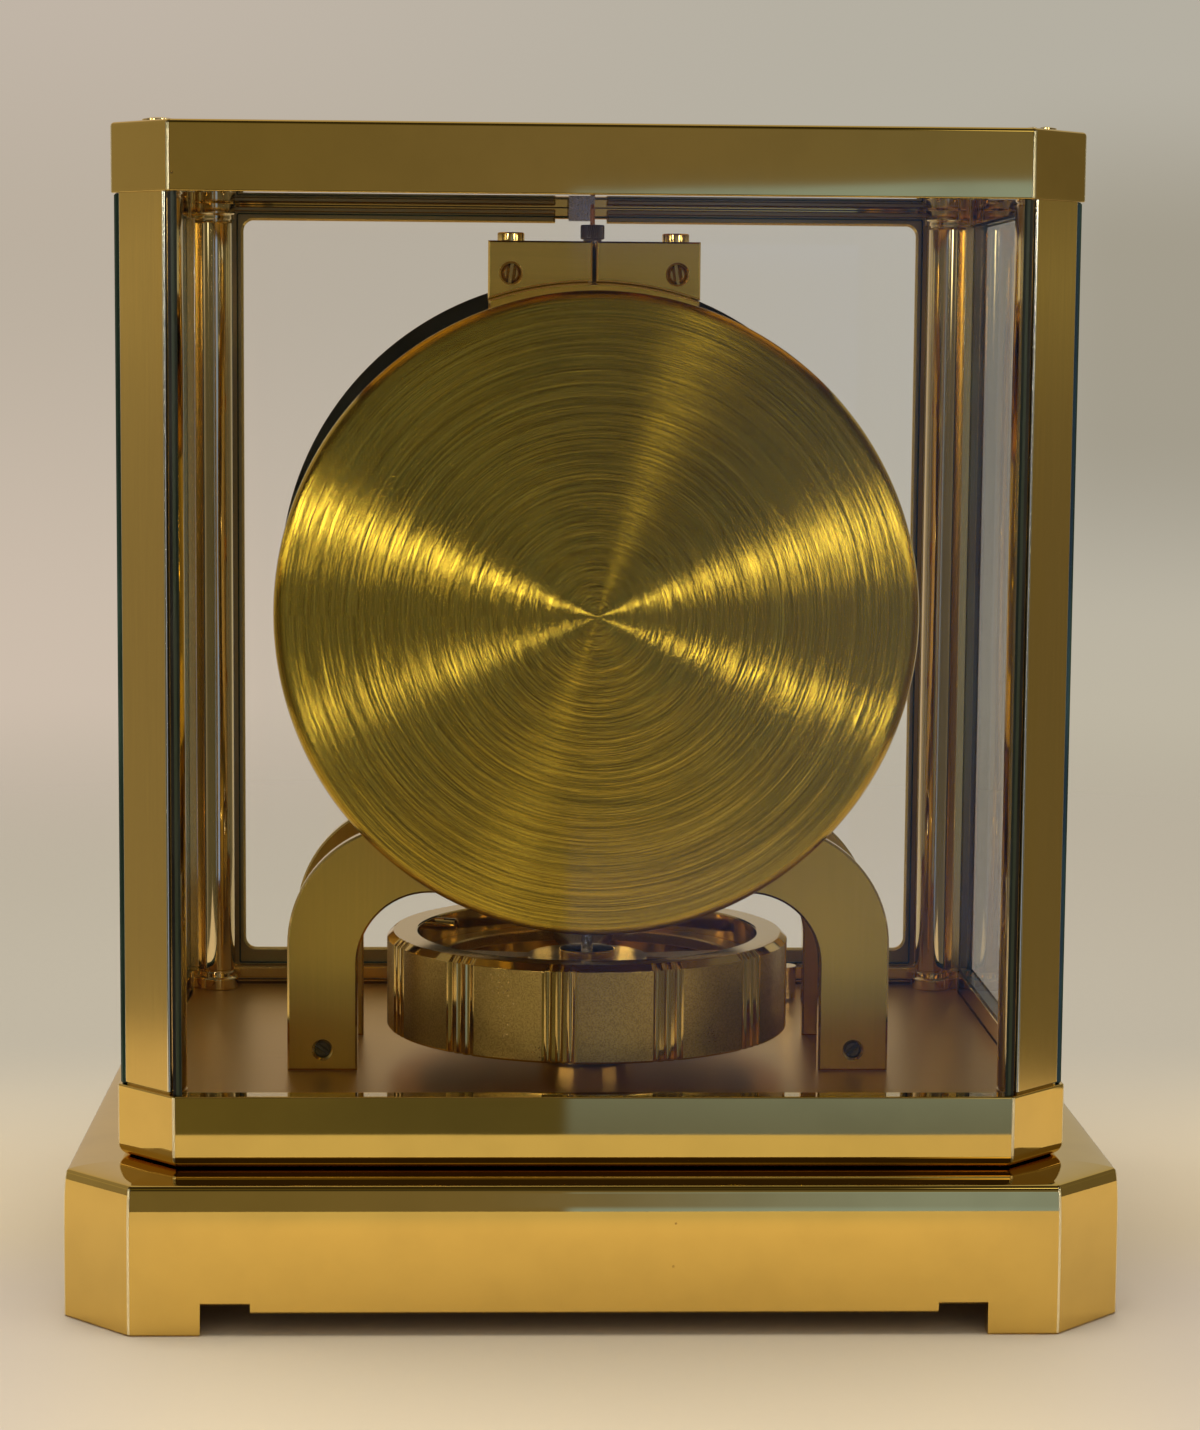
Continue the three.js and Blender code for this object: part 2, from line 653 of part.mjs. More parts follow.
// Rear plate: it carries the bellows drum on a raised ring, and the chain's guide pulley.
const mountRadius = DRUM_RADIUS - DRUM_SKIN - GAP;
function rearPlate(chainX) {
  const arc = bracketArc - GAP;
  const plateFront = rearPlateY + PLATE;
  const guideZ = centreZ + GUIDE_RISE;
  const lugX = chainX - GUIDE_WIDTH / 2 - GAP;
  const trimmed = plateY(standOutline(centreZ + arc), rearPlateY, plateFront)
    .subtract(cut(
      block(-NECK_WIDTH, NECK_WIDTH, rearPlateY - 1, plateFront + 1, centreZ + arc / 2,
        centreZ + 2 * arc),
      bar("y", arc, rearPlateY - 2, plateFront + 2, 0, 0, centreZ, 72),
    ));
  const ring = cut(
    bar("y", mountRadius, rearPlateY - MOUNT_DEPTH, rearPlateY + PLATE / 2, 0, 0, centreZ, 40),
    bar("y", mountRadius - MOUNT_WIDTH, rearPlateY - MOUNT_DEPTH - 1, rearPlateY + PLATE,
      0, 0, centreZ, 32),
  );
  let body = join(
    trimmed,
    ring,
    block(lugX - 3, lugX, plateFront - 1, guideY + 2, guideZ - 2, guideZ + 2),
    bar("x", ARBOR, lugX - 1, chainX + GUIDE_WIDTH / 2 + RUN, 0, guideY, guideZ, 16),
  );
  body = cut(
    body,
    bar("y", PRESS_POST + 2, rearPlateY - 1, plateFront + 1, 0, 0, centreZ),
    bar("y", HOOK_RADIUS * 2.2, rearPlateY - 1, plateFront + 1, chainX, 0, hookZ, 16),
  );
  for (const [, side] of SIDES)
    body = body.subtract(screwBore(rearPlateY, plateFront + 1, side * legX, legScrewZ));
  return body;
}

function frontPlate(bores) {
  let body = plateY(standOutline(standTopZ), frontPlateY, frontPlateY + PLATE);
  for (const [x, z, radius] of bores)
    body = body.subtract(bar("y", radius + RUN, frontPlateY - 1, frontPlateY + PLATE + 1,
      x, 0, z, 16));
  for (const [, side] of SIDES)
    body = body.subtract(bar("y", screwHole, frontPlateY - 1, frontPlateY + PLATE + 1,
      side * BRACKET_SCREW_X, 0, bracketScrewZ, 16));
  return body;
}

// Bracket: the block on top of the plates that the balance hangs from.
function suspensionBracket() {
  const half = NECK_WIDTH / 2;
  let body = cut(
    block(-half, half, rearPlateY, frontPlateY, centreZ, standTopZ),
    bar("y", bracketArc, rearPlateY - 1, frontPlateY + 1, 0, 0, centreZ, 72),
    block(-BRACKET_SLOT / 2, BRACKET_SLOT / 2, rearPlateY - 1, balanceY + BRACKET_SLOT / 2,
      centreZ, standTopZ + 1),
  );
  for (const [, side] of SIDES) {
    const x = side * BRACKET_SCREW_X;
    body = cut(body,
      screwBore(rearPlateY, frontPlateY + 1, x, bracketScrewZ),
      bar("z", screwHole, standTopZ - CAP_SHANK_LENGTH - GAP, standTopZ + 1, x, capHeadY,
        0, 16));
  }
  return body;
}

function suspensionNut() {
  const collarTop = standTopZ + NUT_COLLAR_HEIGHT;
  const nutTop = collarTop + NUT_HEIGHT;
  return join(
    bar("z", NUT_COLLAR, standTopZ, collarTop + 0.1),
    bar("z", NUT_RADIUS, collarTop, nutTop, 0, 0, 0, 20),
    bar("z", PIN_RADIUS, nutTop - 0.5, nutTop + PIN_LENGTH, 0, 0, 0, 12),
  );
}

function buildStand(chainX, bores) {
  const group = assembly();
  add(group, "rear_plate", rearPlate(chainX), SATIN);
  add(group, "front_plate", frontPlate(bores), SATIN);
  add(group, "suspension_bracket", suspensionBracket(), SATIN);
  const barFrom = rearPlateY + PLATE;
  const shank = 12;
  for (const [side, across] of SIDES) {
    const half = FOOT_BAR_WIDTH / 2;
    const x = across * legX;
    const foot = cut(
      block(x - half, x + half, barFrom, frontPlateY, floorTop, floorTop + FOOT_BAR_HEIGHT),
      bar("y", screwHole, barFrom - 1, rearPlateY + shank + GAP, x, 0, legScrewZ, 16),
    );
    add(group, `foot_bar_${side}`, foot, SATIN);
    add(group, `leg_screw_${side}`, screw(shank), STEEL, x, rearPlateY, legScrewZ);
    const clamp = across * BRACKET_SCREW_X;
    add(group, `bracket_screw_${side}`, screw(PLATE_SPACING + PLATE / 2), STEEL, clamp,
      rearPlateY, bracketScrewZ);
    const head = join(
      bar("z", CAP_HEAD, standTopZ, standTopZ + CAP_HEAD_HEIGHT, 0, 0, 0, 20),
      bar("z", SCREW_SHANK, standTopZ - CAP_SHANK_LENGTH, standTopZ + 1, 0, 0, 0, 16),
    );
    add(group, `bracket_head_${side}`, head, GILT, clamp, capHeadY);
  }
  add(group, "suspension_nut", suspensionNut(), DARK, 0, balanceY);
  add(group, "suspension_tube", bar("z", TUBE_RADIUS, balanceTop + STAFF_RISE + GAP, standTopZ,
    0, 0, 0, 12), STEEL, 0, balanceY);
}

// Balance: a heavy fluted ring on a windowed web, hung on a staff with its impulse roller.
function balanceRing() {
  const points = [];
  const halfAngle = FLUTE_WIDTH / 2 / BALANCE_RADIUS;
  const step = FLUTE_PITCH / BALANCE_RADIUS;
  for (let group = 0; group < FLUTE_GROUPS; group += 1) {
    const middle = THREE.MathUtils.degToRad(FLUTE_TURN - 90)
      + (group * 2 * Math.PI) / FLUTE_GROUPS;
    for (const flute of [-1, 0, 1]) {
      const angle = middle + flute * step;
      points.push([angle - halfAngle, 0], [angle, FLUTE_DEPTH], [angle + halfAngle, 0]);
    }
    for (const part of [0.4, 0.6])
      points.push([middle + (part * 2 * Math.PI) / FLUTE_GROUPS, 0]);
  }
  const fluted = outline(points.map(([angle, depth]) => [
    (BALANCE_RADIUS - depth) * Math.cos(angle), (BALANCE_RADIUS - depth) * Math.sin(angle),
  ]));
  const inner = BALANCE_RADIUS - BALANCE_WALL;
  fluted.holes.push(circlePath(inner));
  const webTop = balanceTop - WEB_DROP;
  const bevelled = turned("z", [
    [0, balanceZ], [BALANCE_RADIUS + 1, balanceZ], [BALANCE_RADIUS + 1, balanceTop - BALANCE_BEVEL - 1],
    [BALANCE_RADIUS - BALANCE_BEVEL, balanceTop], [0, balanceTop],
  ], 48);
  const web = new THREE.Shape();
  web.absarc(0, 0, inner + 1, 0, 2 * Math.PI, false);
  const half = THREE.MathUtils.degToRad(WINDOW_SPAN / 2);
  for (let k = 0; k < WINDOWS; k += 1) {
    const middle = ((k + 0.5) * 2 * Math.PI) / WINDOWS;
    const window = new THREE.Path();
    window.absarc(0, 0, WINDOW_OUTER, middle - half, middle + half, false);
    window.absarc(0, 0, WINDOW_INNER, middle + half, middle - half, true);
    web.holes.push(window);
  }
  return join(
    plateZ(fluted, balanceZ, balanceTop, 18).intersect(bevelled),
    plateZ(web, webTop - WEB, webTop, 12),
    bar("z", HUB_RADIUS, balanceZ, webTop + HUB_RISE, 0, 0, 0, 16),
  );
}

function balanceStaff() {
  const bottom = balanceTop - WEB_DROP + HUB_RISE;
  const roller = balanceTop + ROLLER_RISE;
  return join(
    bar("z", STAFF_RADIUS, bottom, balanceTop + STAFF_RISE, 0, 0, 0, 16),
    bar("z", ROLLER_RADIUS, roller, roller + ROLLER_THICKNESS),
    bar("z", PIN_RADIUS, roller, roller + ROLLER_THICKNESS + IMPULSE_PIN, 0, IMPULSE_OFFSET, 0, 10),
  );
}

function buildBalance() {
  const group = assembly();
  add(group, "balance_ring", balanceRing(), GILT, 0, balanceY);
  add(group, "balance_staff", balanceStaff(), STEEL, 0, balanceY);
}

// Bellows drum: a cup whose closed end is the brushed disc, pushed over the plate's ring.
function bellowsDrum() {
  const face = drumFaceY;
  const open = rearPlateY - GAP;
  const inner = DRUM_RADIUS - DRUM_SKIN;
  const soft = DRUM_EDGE * (1 - Math.SQRT1_2);
  return turned("y", [
    [0, face], [DRUM_RADIUS - DRUM_EDGE, face], [DRUM_RADIUS - soft, face + soft],
    [DRUM_RADIUS, face + DRUM_EDGE], [DRUM_RADIUS, open], [inner, open],
    [inner, face + DRUM_SKIN], [0, face + DRUM_SKIN],
  ], 64);
}

function bellowsCapsule() {
  const from = drumFaceY + DRUM_SKIN + GAP;
  const fold = CAPSULE_LENGTH / CAPSULE_FOLDS;
  const profile = [[0, from], [CAPSULE_NECK, from]];
  for (let k = 0; k < CAPSULE_FOLDS; k += 1)
    profile.push([CAPSULE_RADIUS, from + (k + 0.5) * fold], [CAPSULE_NECK, from + (k + 1) * fold]);
  profile.push([0, from + CAPSULE_LENGTH]);
  return turned("y", profile, 32);
}

const hookZ = centreZ + GUIDE_RISE - GUIDE_RADIUS - GAP - HOOK_RADIUS;
function pressPlate(chainX) {
  const face = pressY + PRESS_PLATE;
  return join(
    bar("y", PRESS_RADIUS, pressY, face, 0, 0, centreZ, 48),
    bar("y", PRESS_POST, face - 1, face + PRESS_POST_LENGTH, 0, 0, centreZ),
    bar("y", HOOK_RADIUS, face - 1, guideY, chainX, 0, hookZ, 12),
  );
}

// Return spring: one round wire wound on a helix, with its end turns laid flat.
function bellowsSpring() {
  const from = pressY + PRESS_PLATE + GAP + SPRING_WIRE;
  const to = rearPlateY - GAP - SPRING_WIRE;
  const stepsPerTurn = 8;
  const sides = 5;
  const steps = SPRING_TURNS * stepsPerTurn;
  const centres = [];
  for (let i = 0; i <= steps; i += 1) {
    const turn = (2 * Math.PI * i) / stepsPerTurn;
    centres.push(new THREE.Vector3(SPRING_RADIUS * Math.cos(turn), from + ((to - from) * i) / steps,
      SPRING_RADIUS * Math.sin(turn)));
  }
  let gap = Infinity;
  for (let i = 0; i + stepsPerTurn <= steps; i += 1)
    gap = Math.min(gap, centres[i].distanceTo(centres[i + stepsPerTurn]) - 2 * SPRING_WIRE);
  console.log(`bellows_spring: least gap between turns ${gap.toFixed(2)} mm`);
  const positions = [];
  const index = [];
  centres.forEach((centre, i) => {
    const turn = (2 * Math.PI * i) / stepsPerTurn;
    for (let k = 0; k < sides; k += 1) {
      const angle = (2 * Math.PI * k) / sides;
      const reach = SPRING_WIRE * Math.cos(angle);
      positions.push(centre.x + reach * Math.cos(turn), centre.y + SPRING_WIRE * Math.sin(angle),
        centre.z + reach * Math.sin(turn));
    }
    if (i === steps) return;
    for (let k = 0; k < sides; k += 1) {
      const a = i * sides + k;
      const b = i * sides + ((k + 1) % sides);
      index.push(a, b, a + sides, b, b + sides, a + sides);
    }
  });
  const last = steps * sides;
  for (let k = 1; k + 1 < sides; k += 1)
    index.push(0, k + 1, k, last, last + k, last + k + 1);
  const geometry = new THREE.BufferGeometry();
  geometry.setAttribute("position", new THREE.Float32BufferAttribute(positions, 3));
  geometry.setIndex(index);
  return solid(geometry);
}

function buildBellows(chainX) {
  const group = assembly();
  add(group, "bellows_drum", bellowsDrum(), BRUSHED, 0, 0, centreZ);
  add(group, "bellows_capsule", bellowsCapsule(), STEEL, 0, 0, centreZ);
  add(group, "bellows_plate", pressPlate(chainX), SATIN);
  add(group, "bellows_spring", bellowsSpring(), STEEL, 0, 0, centreZ);
}

// A toothed outline with nearly involute flanks, thinned so that meshed teeth run clear.
// One tooth lies at the angle phase.
function gearShape(teeth, module, phase, bore) {
  const pitch = (teeth * module) / 2;
  const base = pitch * Math.cos(PRESSURE_ANGLE);
  const involute = (angle) => Math.tan(angle) - angle;
  const halfWidth = (radius) => (TOOTH_SHARE * Math.PI) / (2 * teeth)
    + involute(PRESSURE_ANGLE) - involute(Math.acos(Math.min(1, base / radius)));
  const tip = pitch + ADDENDUM * module;
  const root = pitch - DEDENDUM * module;
  const points = [];
  for (let k = 0; k < teeth; k += 1) {
    const middle = phase + (2 * Math.PI * k) / teeth;
    for (const [radius, turn] of [
      [root, -halfWidth(root)], [tip, -halfWidth(tip)], [tip, halfWidth(tip)],
      [root, halfWidth(root)],
    ])
      points.push([radius * Math.cos(middle + turn), radius * Math.sin(middle + turn)]);
  }
  const shape = outline(points);
  if (bore) shape.holes.push(circlePath(bore));
  return shape;
}

// The angle of the follower's tooth that leaves a space facing its driver.
function meshPhase(fromX, fromZ, toX, toZ, teeth) {
  return Math.atan2(fromZ - toZ, fromX - toX) + Math.PI / teeth;
}

// The point at distance a from (x0, z0) and b from (x1, z1), on the right of the line.
function reachPoint(x0, z0, a, x1, z1, b) {
  const dx = x1 - x0;
  const dz = z1 - z0;
  const d = Math.hypot(dx, dz);
  const along = (a * a - b * b + d * d) / (2 * d);
  const off = Math.sqrt(Math.max(0, a * a - along * along));
  return [x0 + (along * dx - off * dz) / d, z0 + (along * dz + off * dx) / d];
}

const bearing = THREE.MathUtils.degToRad(BARREL_BEARING);
const barrelReach = ((BARREL_TEETH + CENTRE_PINION_TEETH) * BARREL_MODULE) / 2;
const barrelX = barrelReach * Math.cos(bearing);
const barrelZ = centreZ + barrelReach * Math.sin(bearing);
const anchorZ = centreZ - ANCHOR_DROP;
const forkEnd = balanceTop + ROLLER_RISE + ROLLER_THICKNESS + IMPULSE_PIN + GAP - anchorZ;
const escapeX = ANCHOR_REACH * Math.SQRT1_2;
const escapeZ = anchorZ + ANCHOR_REACH * Math.SQRT1_2;
const [thirdX, thirdZ] = reachPoint(
  0, centreZ, ((CENTRE_TEETH + THIRD_PINION_TEETH) * CENTRE_MODULE) / 2,
  escapeX, escapeZ, ((THIRD_TEETH + ESCAPE_PINION_TEETH) * THIRD_MODULE) / 2,
);
const motionReach = ((CANNON_TEETH + MINUTE_TEETH) * MOTION_MODULE) / 2;
const minuteZ = centreZ - motionReach;
const hourModule = (2 * motionReach) / (MINUTE_PINION_TEETH + HOUR_TEETH);

// Layers along the train, from the bridge forwards
const bridgeY = rearPlateY + BRIDGE_SETBACK;
const dialY = frontPlateY + PLATE + DIAL_STANDOFF;
const bridgeFront = bridgeY + BRIDGE;
const greatY = bridgeFront + 0.7;
const drumY = greatY + WHEEL + 0.1;
const thirdY = drumY + 0.6;
const centreY = drumY + BARREL_DEPTH + 0.4;
const pivotEnd = frontPlateY + PLATE / 2;
const pivotStart = bridgeY + BRIDGE / 5;
const ratchetY = bridgeY - 0.5 - RATCHET_THICKNESS;
const escapeY = bridgeY - 3.1;
const anchorY = escapeY - 0.2;
const anchorThickness = 1.5;
const chainX = barrelX + PULLEY_RADIUS + GAP + CHAIN_RADIUS;
const chainY = guideY + GUIDE_RADIUS + GAP + CHAIN_RADIUS;

function ratchet() {
  const points = [];
  const root = RATCHET_RADIUS * 0.86;
  for (let k = 0; k < RATCHET_TEETH; k += 1) {
    const angle = (2 * Math.PI * k) / RATCHET_TEETH;
    const next = (2 * Math.PI * (k + 0.8)) / RATCHET_TEETH;
    points.push([RATCHET_RADIUS * Math.cos(angle), RATCHET_RADIUS * Math.sin(angle)],
      [root * Math.cos(next), root * Math.sin(next)]);
  }
  return join(
    plateY(outline(points), ratchetY, ratchetY + RATCHET_THICKNESS),
    bar("y", PULLEY_RADIUS, ratchetY - PULLEY_WIDTH, ratchetY + 0.5),
    bar("y", BARREL_ARBOR, ratchetY, pivotEnd, 0, 0, 0, 16),
  );
}

// Click: the pawl that holds the ratchet, on a stud of the bridge.
function click() {
  const nose = THREE.MathUtils.degToRad(58);
  const reach = RATCHET_RADIUS + GAP + 0.1;
  const at = (radius) => [radius * Math.cos(nose) - CLICK_X, radius * Math.sin(nose) - CLICK_Z];
  const arm = outline([at(reach), [-0.4, -1.8], [0.6, 1.8], at(reach + 2)]);
  return cut(
    join(plateY(arm, ratchetY, ratchetY + RATCHET_THICKNESS),
      bar("y", 2.2, ratchetY, ratchetY + RATCHET_THICKNESS, 0, 0, 0, 16)),
    bar("y", ARBOR + RUN, ratchetY - 1, ratchetY + 3, 0, 0, 0, 12),
  );
}

// The smallest convex outline round a set of points.
function convexOutline(points) {
  const sorted = [...points].sort(([ax, az], [bx, bz]) => ax - bx || az - bz);
  const chain = (list) => list.reduce((kept, point) => {
    const turnsLeft = ([ax, az], [bx, bz]) => (bx - ax) * (point[1] - az)
      - (bz - az) * (point[0] - ax) > 1e-6;
    while (kept.length > 1 && !turnsLeft(kept.at(-2), kept.at(-1))) kept.pop();
    return [...kept, point];
  }, []);
  return outline([
    ...chain(sorted).slice(0, -1),
    ...chain([...sorted].reverse()).slice(0, -1),
  ]);
}

// Bridge: the rear plate of the train, on three pillars from the front plate.
function bridge(bores) {
  const pillars = [
    [LEFT_PILLAR_REACH, LEFT_PILLAR_BEARING],
    [RIGHT_PILLAR_REACH, RIGHT_PILLAR_BEARING],
    [LOWER_PILLAR_REACH, LOWER_PILLAR_BEARING],
  ].map(([reach, degrees]) => {
    const turn = THREE.MathUtils.degToRad(degrees);
    return [reach * Math.cos(turn), centreZ + reach * Math.sin(turn)];
  });
  const stud = [barrelX + CLICK_X, barrelZ + CLICK_Z];
  const corners = [...pillars, ...bores, stud].flatMap(([x, z]) => (
    [...Array(8).keys()].map((k) => [
      x + BRIDGE_MARGIN * Math.cos((k * Math.PI) / 4),
      z + BRIDGE_MARGIN * Math.sin((k * Math.PI) / 4),
    ])));
  let body = plateY(convexOutline(corners), bridgeY, bridgeFront);
  for (const [x, z] of pillars)
    body = join(body, bar("y", BRIDGE_PILLAR, bridgeFront - 1, frontPlateY, x, 0, z, 16));
  body = join(body, bar("y", ARBOR, ratchetY, bridgeY + 1, stud[0], 0, stud[1], 12));
  for (const [x, z, radius] of bores)
    body = body.subtract(bar("y", radius + RUN, bridgeY - 1, bridgeFront + 1, x, 0, z, 16));
  return body;
}

// Barrel: the great wheel and a cup for the mainspring, free on the ratchet's arbor.
function barrel() {
  const bore = BARREL_ARBOR + RUN;
  const end = drumY + BARREL_DEPTH;
  const phase = Math.atan2(centreZ - barrelZ, -barrelX);
  return join(
    plateY(gearShape(BARREL_TEETH, BARREL_MODULE, phase, bore), greatY, greatY + WHEEL),
    cut(
      bar("y", BARREL_DRUM, greatY + WHEEL - 0.5, end, 0, 0, 0, 40),
      bar("y", BARREL_DRUM - BARREL_WALL, drumY + BARREL_WALL, end + 1, 0, 0, 0, 40),
      bar("y", bore, greatY - 1, end + 1, 0, 0, 0, 16),
    ),
  );
}

// Mainspring: a flat blade wound on a spiral inside the barrel.
function mainspring() {
  const from = BARREL_ARBOR + RUN + GAP + SPRING_BLADE;
  const to = BARREL_DRUM - BARREL_WALL - GAP - SPRING_BLADE / 2;
  const stepsPerTurn = 14;
  const steps = SPRING_COILS * stepsPerTurn;
  const spiral = (offset, order) => order.map((i) => {
    const angle = (2 * Math.PI * i) / stepsPerTurn;
    const radius = from + ((to - from) * i) / steps + offset;
    return [radius * Math.cos(angle), radius * Math.sin(angle)];
  });
  const forward = [...Array(steps + 1).keys()];
  const blade = outline([
    ...spiral(SPRING_BLADE / 2, forward),
    ...spiral(-SPRING_BLADE / 2, [...forward].reverse()),
  ]);
  return plateY(blade, drumY + BARREL_WALL + GAP, drumY + BARREL_DEPTH - GAP);
}

const minuteAngle = Math.PI / 2 + (2 * Math.PI * MINUTE_SHOWN) / 60;
const hourAngle = Math.PI / 2 + (2 * Math.PI * (HOUR_SHOWN + MINUTE_SHOWN / 60)) / 12;
const motionY = frontPlateY + PLATE + 0.7;
const hourWheelY = motionY + 2.2;
const hourHandY = dialY + DIAL_THICKNESS + BATON_RAISE + 0.4;
const minuteHandY = hourHandY + HAND_THICKNESS + 1.2;

function centreWheel() {
  const toBarrel = meshPhase(barrelX, barrelZ, 0, centreZ, CENTRE_PINION_TEETH);
  const toThird = Math.atan2(thirdZ - centreZ, thirdX);
  return join(
    bar("y", CENTRE_ARBOR, pivotStart, minuteHandY, 0, 0, 0, 16),
    plateY(gearShape(CENTRE_PINION_TEETH, BARREL_MODULE, toBarrel), greatY - 0.1,
      greatY + WHEEL + 0.1),
    plateY(gearShape(CENTRE_TEETH, CENTRE_MODULE, toThird), centreY, centreY + WHEEL),
    plateY(gearShape(CANNON_TEETH, MOTION_MODULE, -Math.PI / 2), motionY, motionY + WHEEL),
  );
}

function thirdWheel() {
  const toCentre = meshPhase(0, centreZ, thirdX, thirdZ, THIRD_PINION_TEETH);
  const toEscape = Math.atan2(escapeZ - thirdZ, escapeX - thirdX);
  return join(
    bar("y", ARBOR, pivotStart, pivotEnd, 0, 0, 0, 16),
    plateY(gearShape(THIRD_PINION_TEETH, CENTRE_MODULE, toCentre), centreY - 0.1,
      centreY + WHEEL + 0.1),
    plateY(gearShape(THIRD_TEETH, THIRD_MODULE, toEscape), thirdY, thirdY + WHEEL),
  );
}

function escapeWheel() {
  const toThird = meshPhase(thirdX, thirdZ, escapeX, escapeZ, ESCAPE_PINION_TEETH);
  const points = [];
  for (let k = 0; k < ESCAPE_TEETH; k += 1) {
    const at = (radius, share) => {
      const angle = (2 * Math.PI * (k + share)) / ESCAPE_TEETH;
      points.push([radius * Math.cos(angle), radius * Math.sin(angle)]);
    };
    at(ESCAPE_RADIUS * 0.72, 0);
    at(ESCAPE_RADIUS, 0.1);
    at(ESCAPE_RADIUS, 0.22);
    at(ESCAPE_RADIUS * 0.72, 0.55);
  }
  return join(
    bar("y", ARBOR, escapeY - 0.3, pivotEnd, 0, 0, 0, 16),
    plateY(gearShape(ESCAPE_PINION_TEETH, THIRD_MODULE, toThird), thirdY - 0.1,
      thirdY + WHEEL + 0.1),
    plateY(outline(points), escapeY, escapeY + 1.2),
  );
}

// Anchor: two pallets that straddle the escape wheel, and a fork down to the balance.
function anchor() {
  const aim = Math.PI * 1.25;
  const parts = [
    bar("y", 2, anchorY, anchorY + anchorThickness, 0, 0, 0, 16),
    bar("y", ARBOR, anchorY - 0.2, pivotEnd, 0, 0, 0, 16),
  ];
  const wheelX = escapeX;
  const wheelZ = escapeZ - anchorZ;
  for (const side of [-1, 1]) {
    const angle = aim + side * THREE.MathUtils.degToRad(PALLET_SPREAD);
    const x = wheelX + PALLET_REACH * Math.cos(angle);
    const z = wheelZ + PALLET_REACH * Math.sin(angle);
    const length = Math.hypot(x, z);
    const nx = ((-z / length) * PALLET_ARM) / 2;
    const nz = ((x / length) * PALLET_ARM) / 2;
    const arm = outline([[nx, nz], [-nx, -nz], [x - nx, z - nz], [x + nx, z + nz]]);
    parts.push(plateY(arm, anchorY, anchorY + anchorThickness));
  }
  const stem = PALLET_ARM * 0.7;
  const wide = FORK_WIDTH / 2;
  const slot = FORK_SLOT / 2;
  const crotch = forkEnd + FORK_WIDTH * 0.6;
  const right = [
    [slot, crotch], [slot, forkEnd], [wide, forkEnd], [wide, crotch + slot],
    [stem, crotch + 2 * slot], [stem, 0],
  ];
  const left = [...right].reverse().map(([x, z]) => [-x, z]);
  const fork = outline([...left, ...right]);
  parts.push(plateY(fork, anchorY, anchorY + anchorThickness));
  return join(...parts);
}

function buildTrain(bores) {
  const group = assembly();
  add(group, "bridge", bridge(bores), SATIN);
  add(group, "ratchet_wheel", ratchet(), STEEL, barrelX, 0, barrelZ);
  add(group, "click", click(), STEEL, barrelX + CLICK_X, 0, barrelZ + CLICK_Z);
  add(group, "barrel", barrel(), GILT, barrelX, 0, barrelZ);
  add(group, "mainspring", mainspring(), STEEL, barrelX, 0, barrelZ);
  add(group, "centre_wheel", centreWheel(), GILT, 0, 0, centreZ);
  add(group, "third_wheel", thirdWheel(), GILT, thirdX, 0, thirdZ);
  add(group, "escape_wheel", escapeWheel(), GILT, escapeX, 0, escapeZ);
  add(group, "anchor", anchor(), STEEL, 0, 0, anchorZ);
  const guideZ = centreZ + GUIDE_RISE;
  add(group, "guide_pulley", cut(
    bar("x", GUIDE_RADIUS, -GUIDE_WIDTH / 2, GUIDE_WIDTH / 2, 0, 0, 0, 20),
    bar("x", ARBOR + RUN, -GUIDE_WIDTH, GUIDE_WIDTH, 0, 0, 0, 16),
  ), GILT, chainX, guideY, guideZ);
  add(group, "winding_chain", bar("z", CHAIN_RADIUS, guideZ, barrelZ, 0, 0, 0, 8), STEEL,
    chainX, chainY);
}

// Dial: an open ring of hour batons on four feet, with the hands in front of it.
function dialRing() {
  const ring = new THREE.Shape();
  ring.absarc(0, 0, DIAL_RADIUS, 0, 2 * Math.PI, false);
  ring.holes.push(circlePath(DIAL_OPENING));
  const front = dialY + DIAL_THICKNESS;
  const parts = [plateY(ring, dialY, front, 24)];
  const middle = (DIAL_RADIUS + DIAL_OPENING) / 2;
  for (let hour = 0; hour < 12; hour += 1) {
    const baton = new THREE.BoxGeometry(BATON_LENGTH, BATON_RAISE * 2, BATON_WIDTH);
    baton.translate(middle, front, 0).rotateY((hour * Math.PI) / 6);
    parts.push(solid(baton));
  }
  const spot = DIAL_FOOT_REACH * Math.SQRT1_2;
  for (const [, across] of SIDES)
    for (const [, up] of SIDES)
      parts.push(bar("y", DIAL_FOOT, frontPlateY + PLATE, dialY + 1, across * spot, 0,
        up * spot, 12));
  return join(...parts);
}

function minuteWheel() {
  const toHour = Math.PI / 2 + Math.PI / MINUTE_PINION_TEETH;
  return cut(
    join(
      plateY(gearShape(MINUTE_TEETH, MOTION_MODULE, Math.PI / 2 + Math.PI / MINUTE_TEETH),
        motionY, motionY + WHEEL - 0.2),
      plateY(gearShape(MINUTE_PINION_TEETH, hourModule, toHour), motionY + 1,
        hourWheelY + WHEEL),
    ),
    bar("y", ARBOR + RUN, motionY - 1, hourWheelY + WHEEL + 1, 0, 0, 0, 16),
  );
}

function hourWheel() {
  const bore = bar("y", CENTRE_ARBOR + RUN, hourWheelY - 1, hourHandY + 1, 0, 0, 0, 16);
  return cut(join(
    plateY(gearShape(HOUR_TEETH, hourModule, -Math.PI / 2), hourWheelY,
      hourWheelY + WHEEL - 0.2),
    bar("y", HOUR_PIPE, hourWheelY, hourHandY),
  ), bore);
}

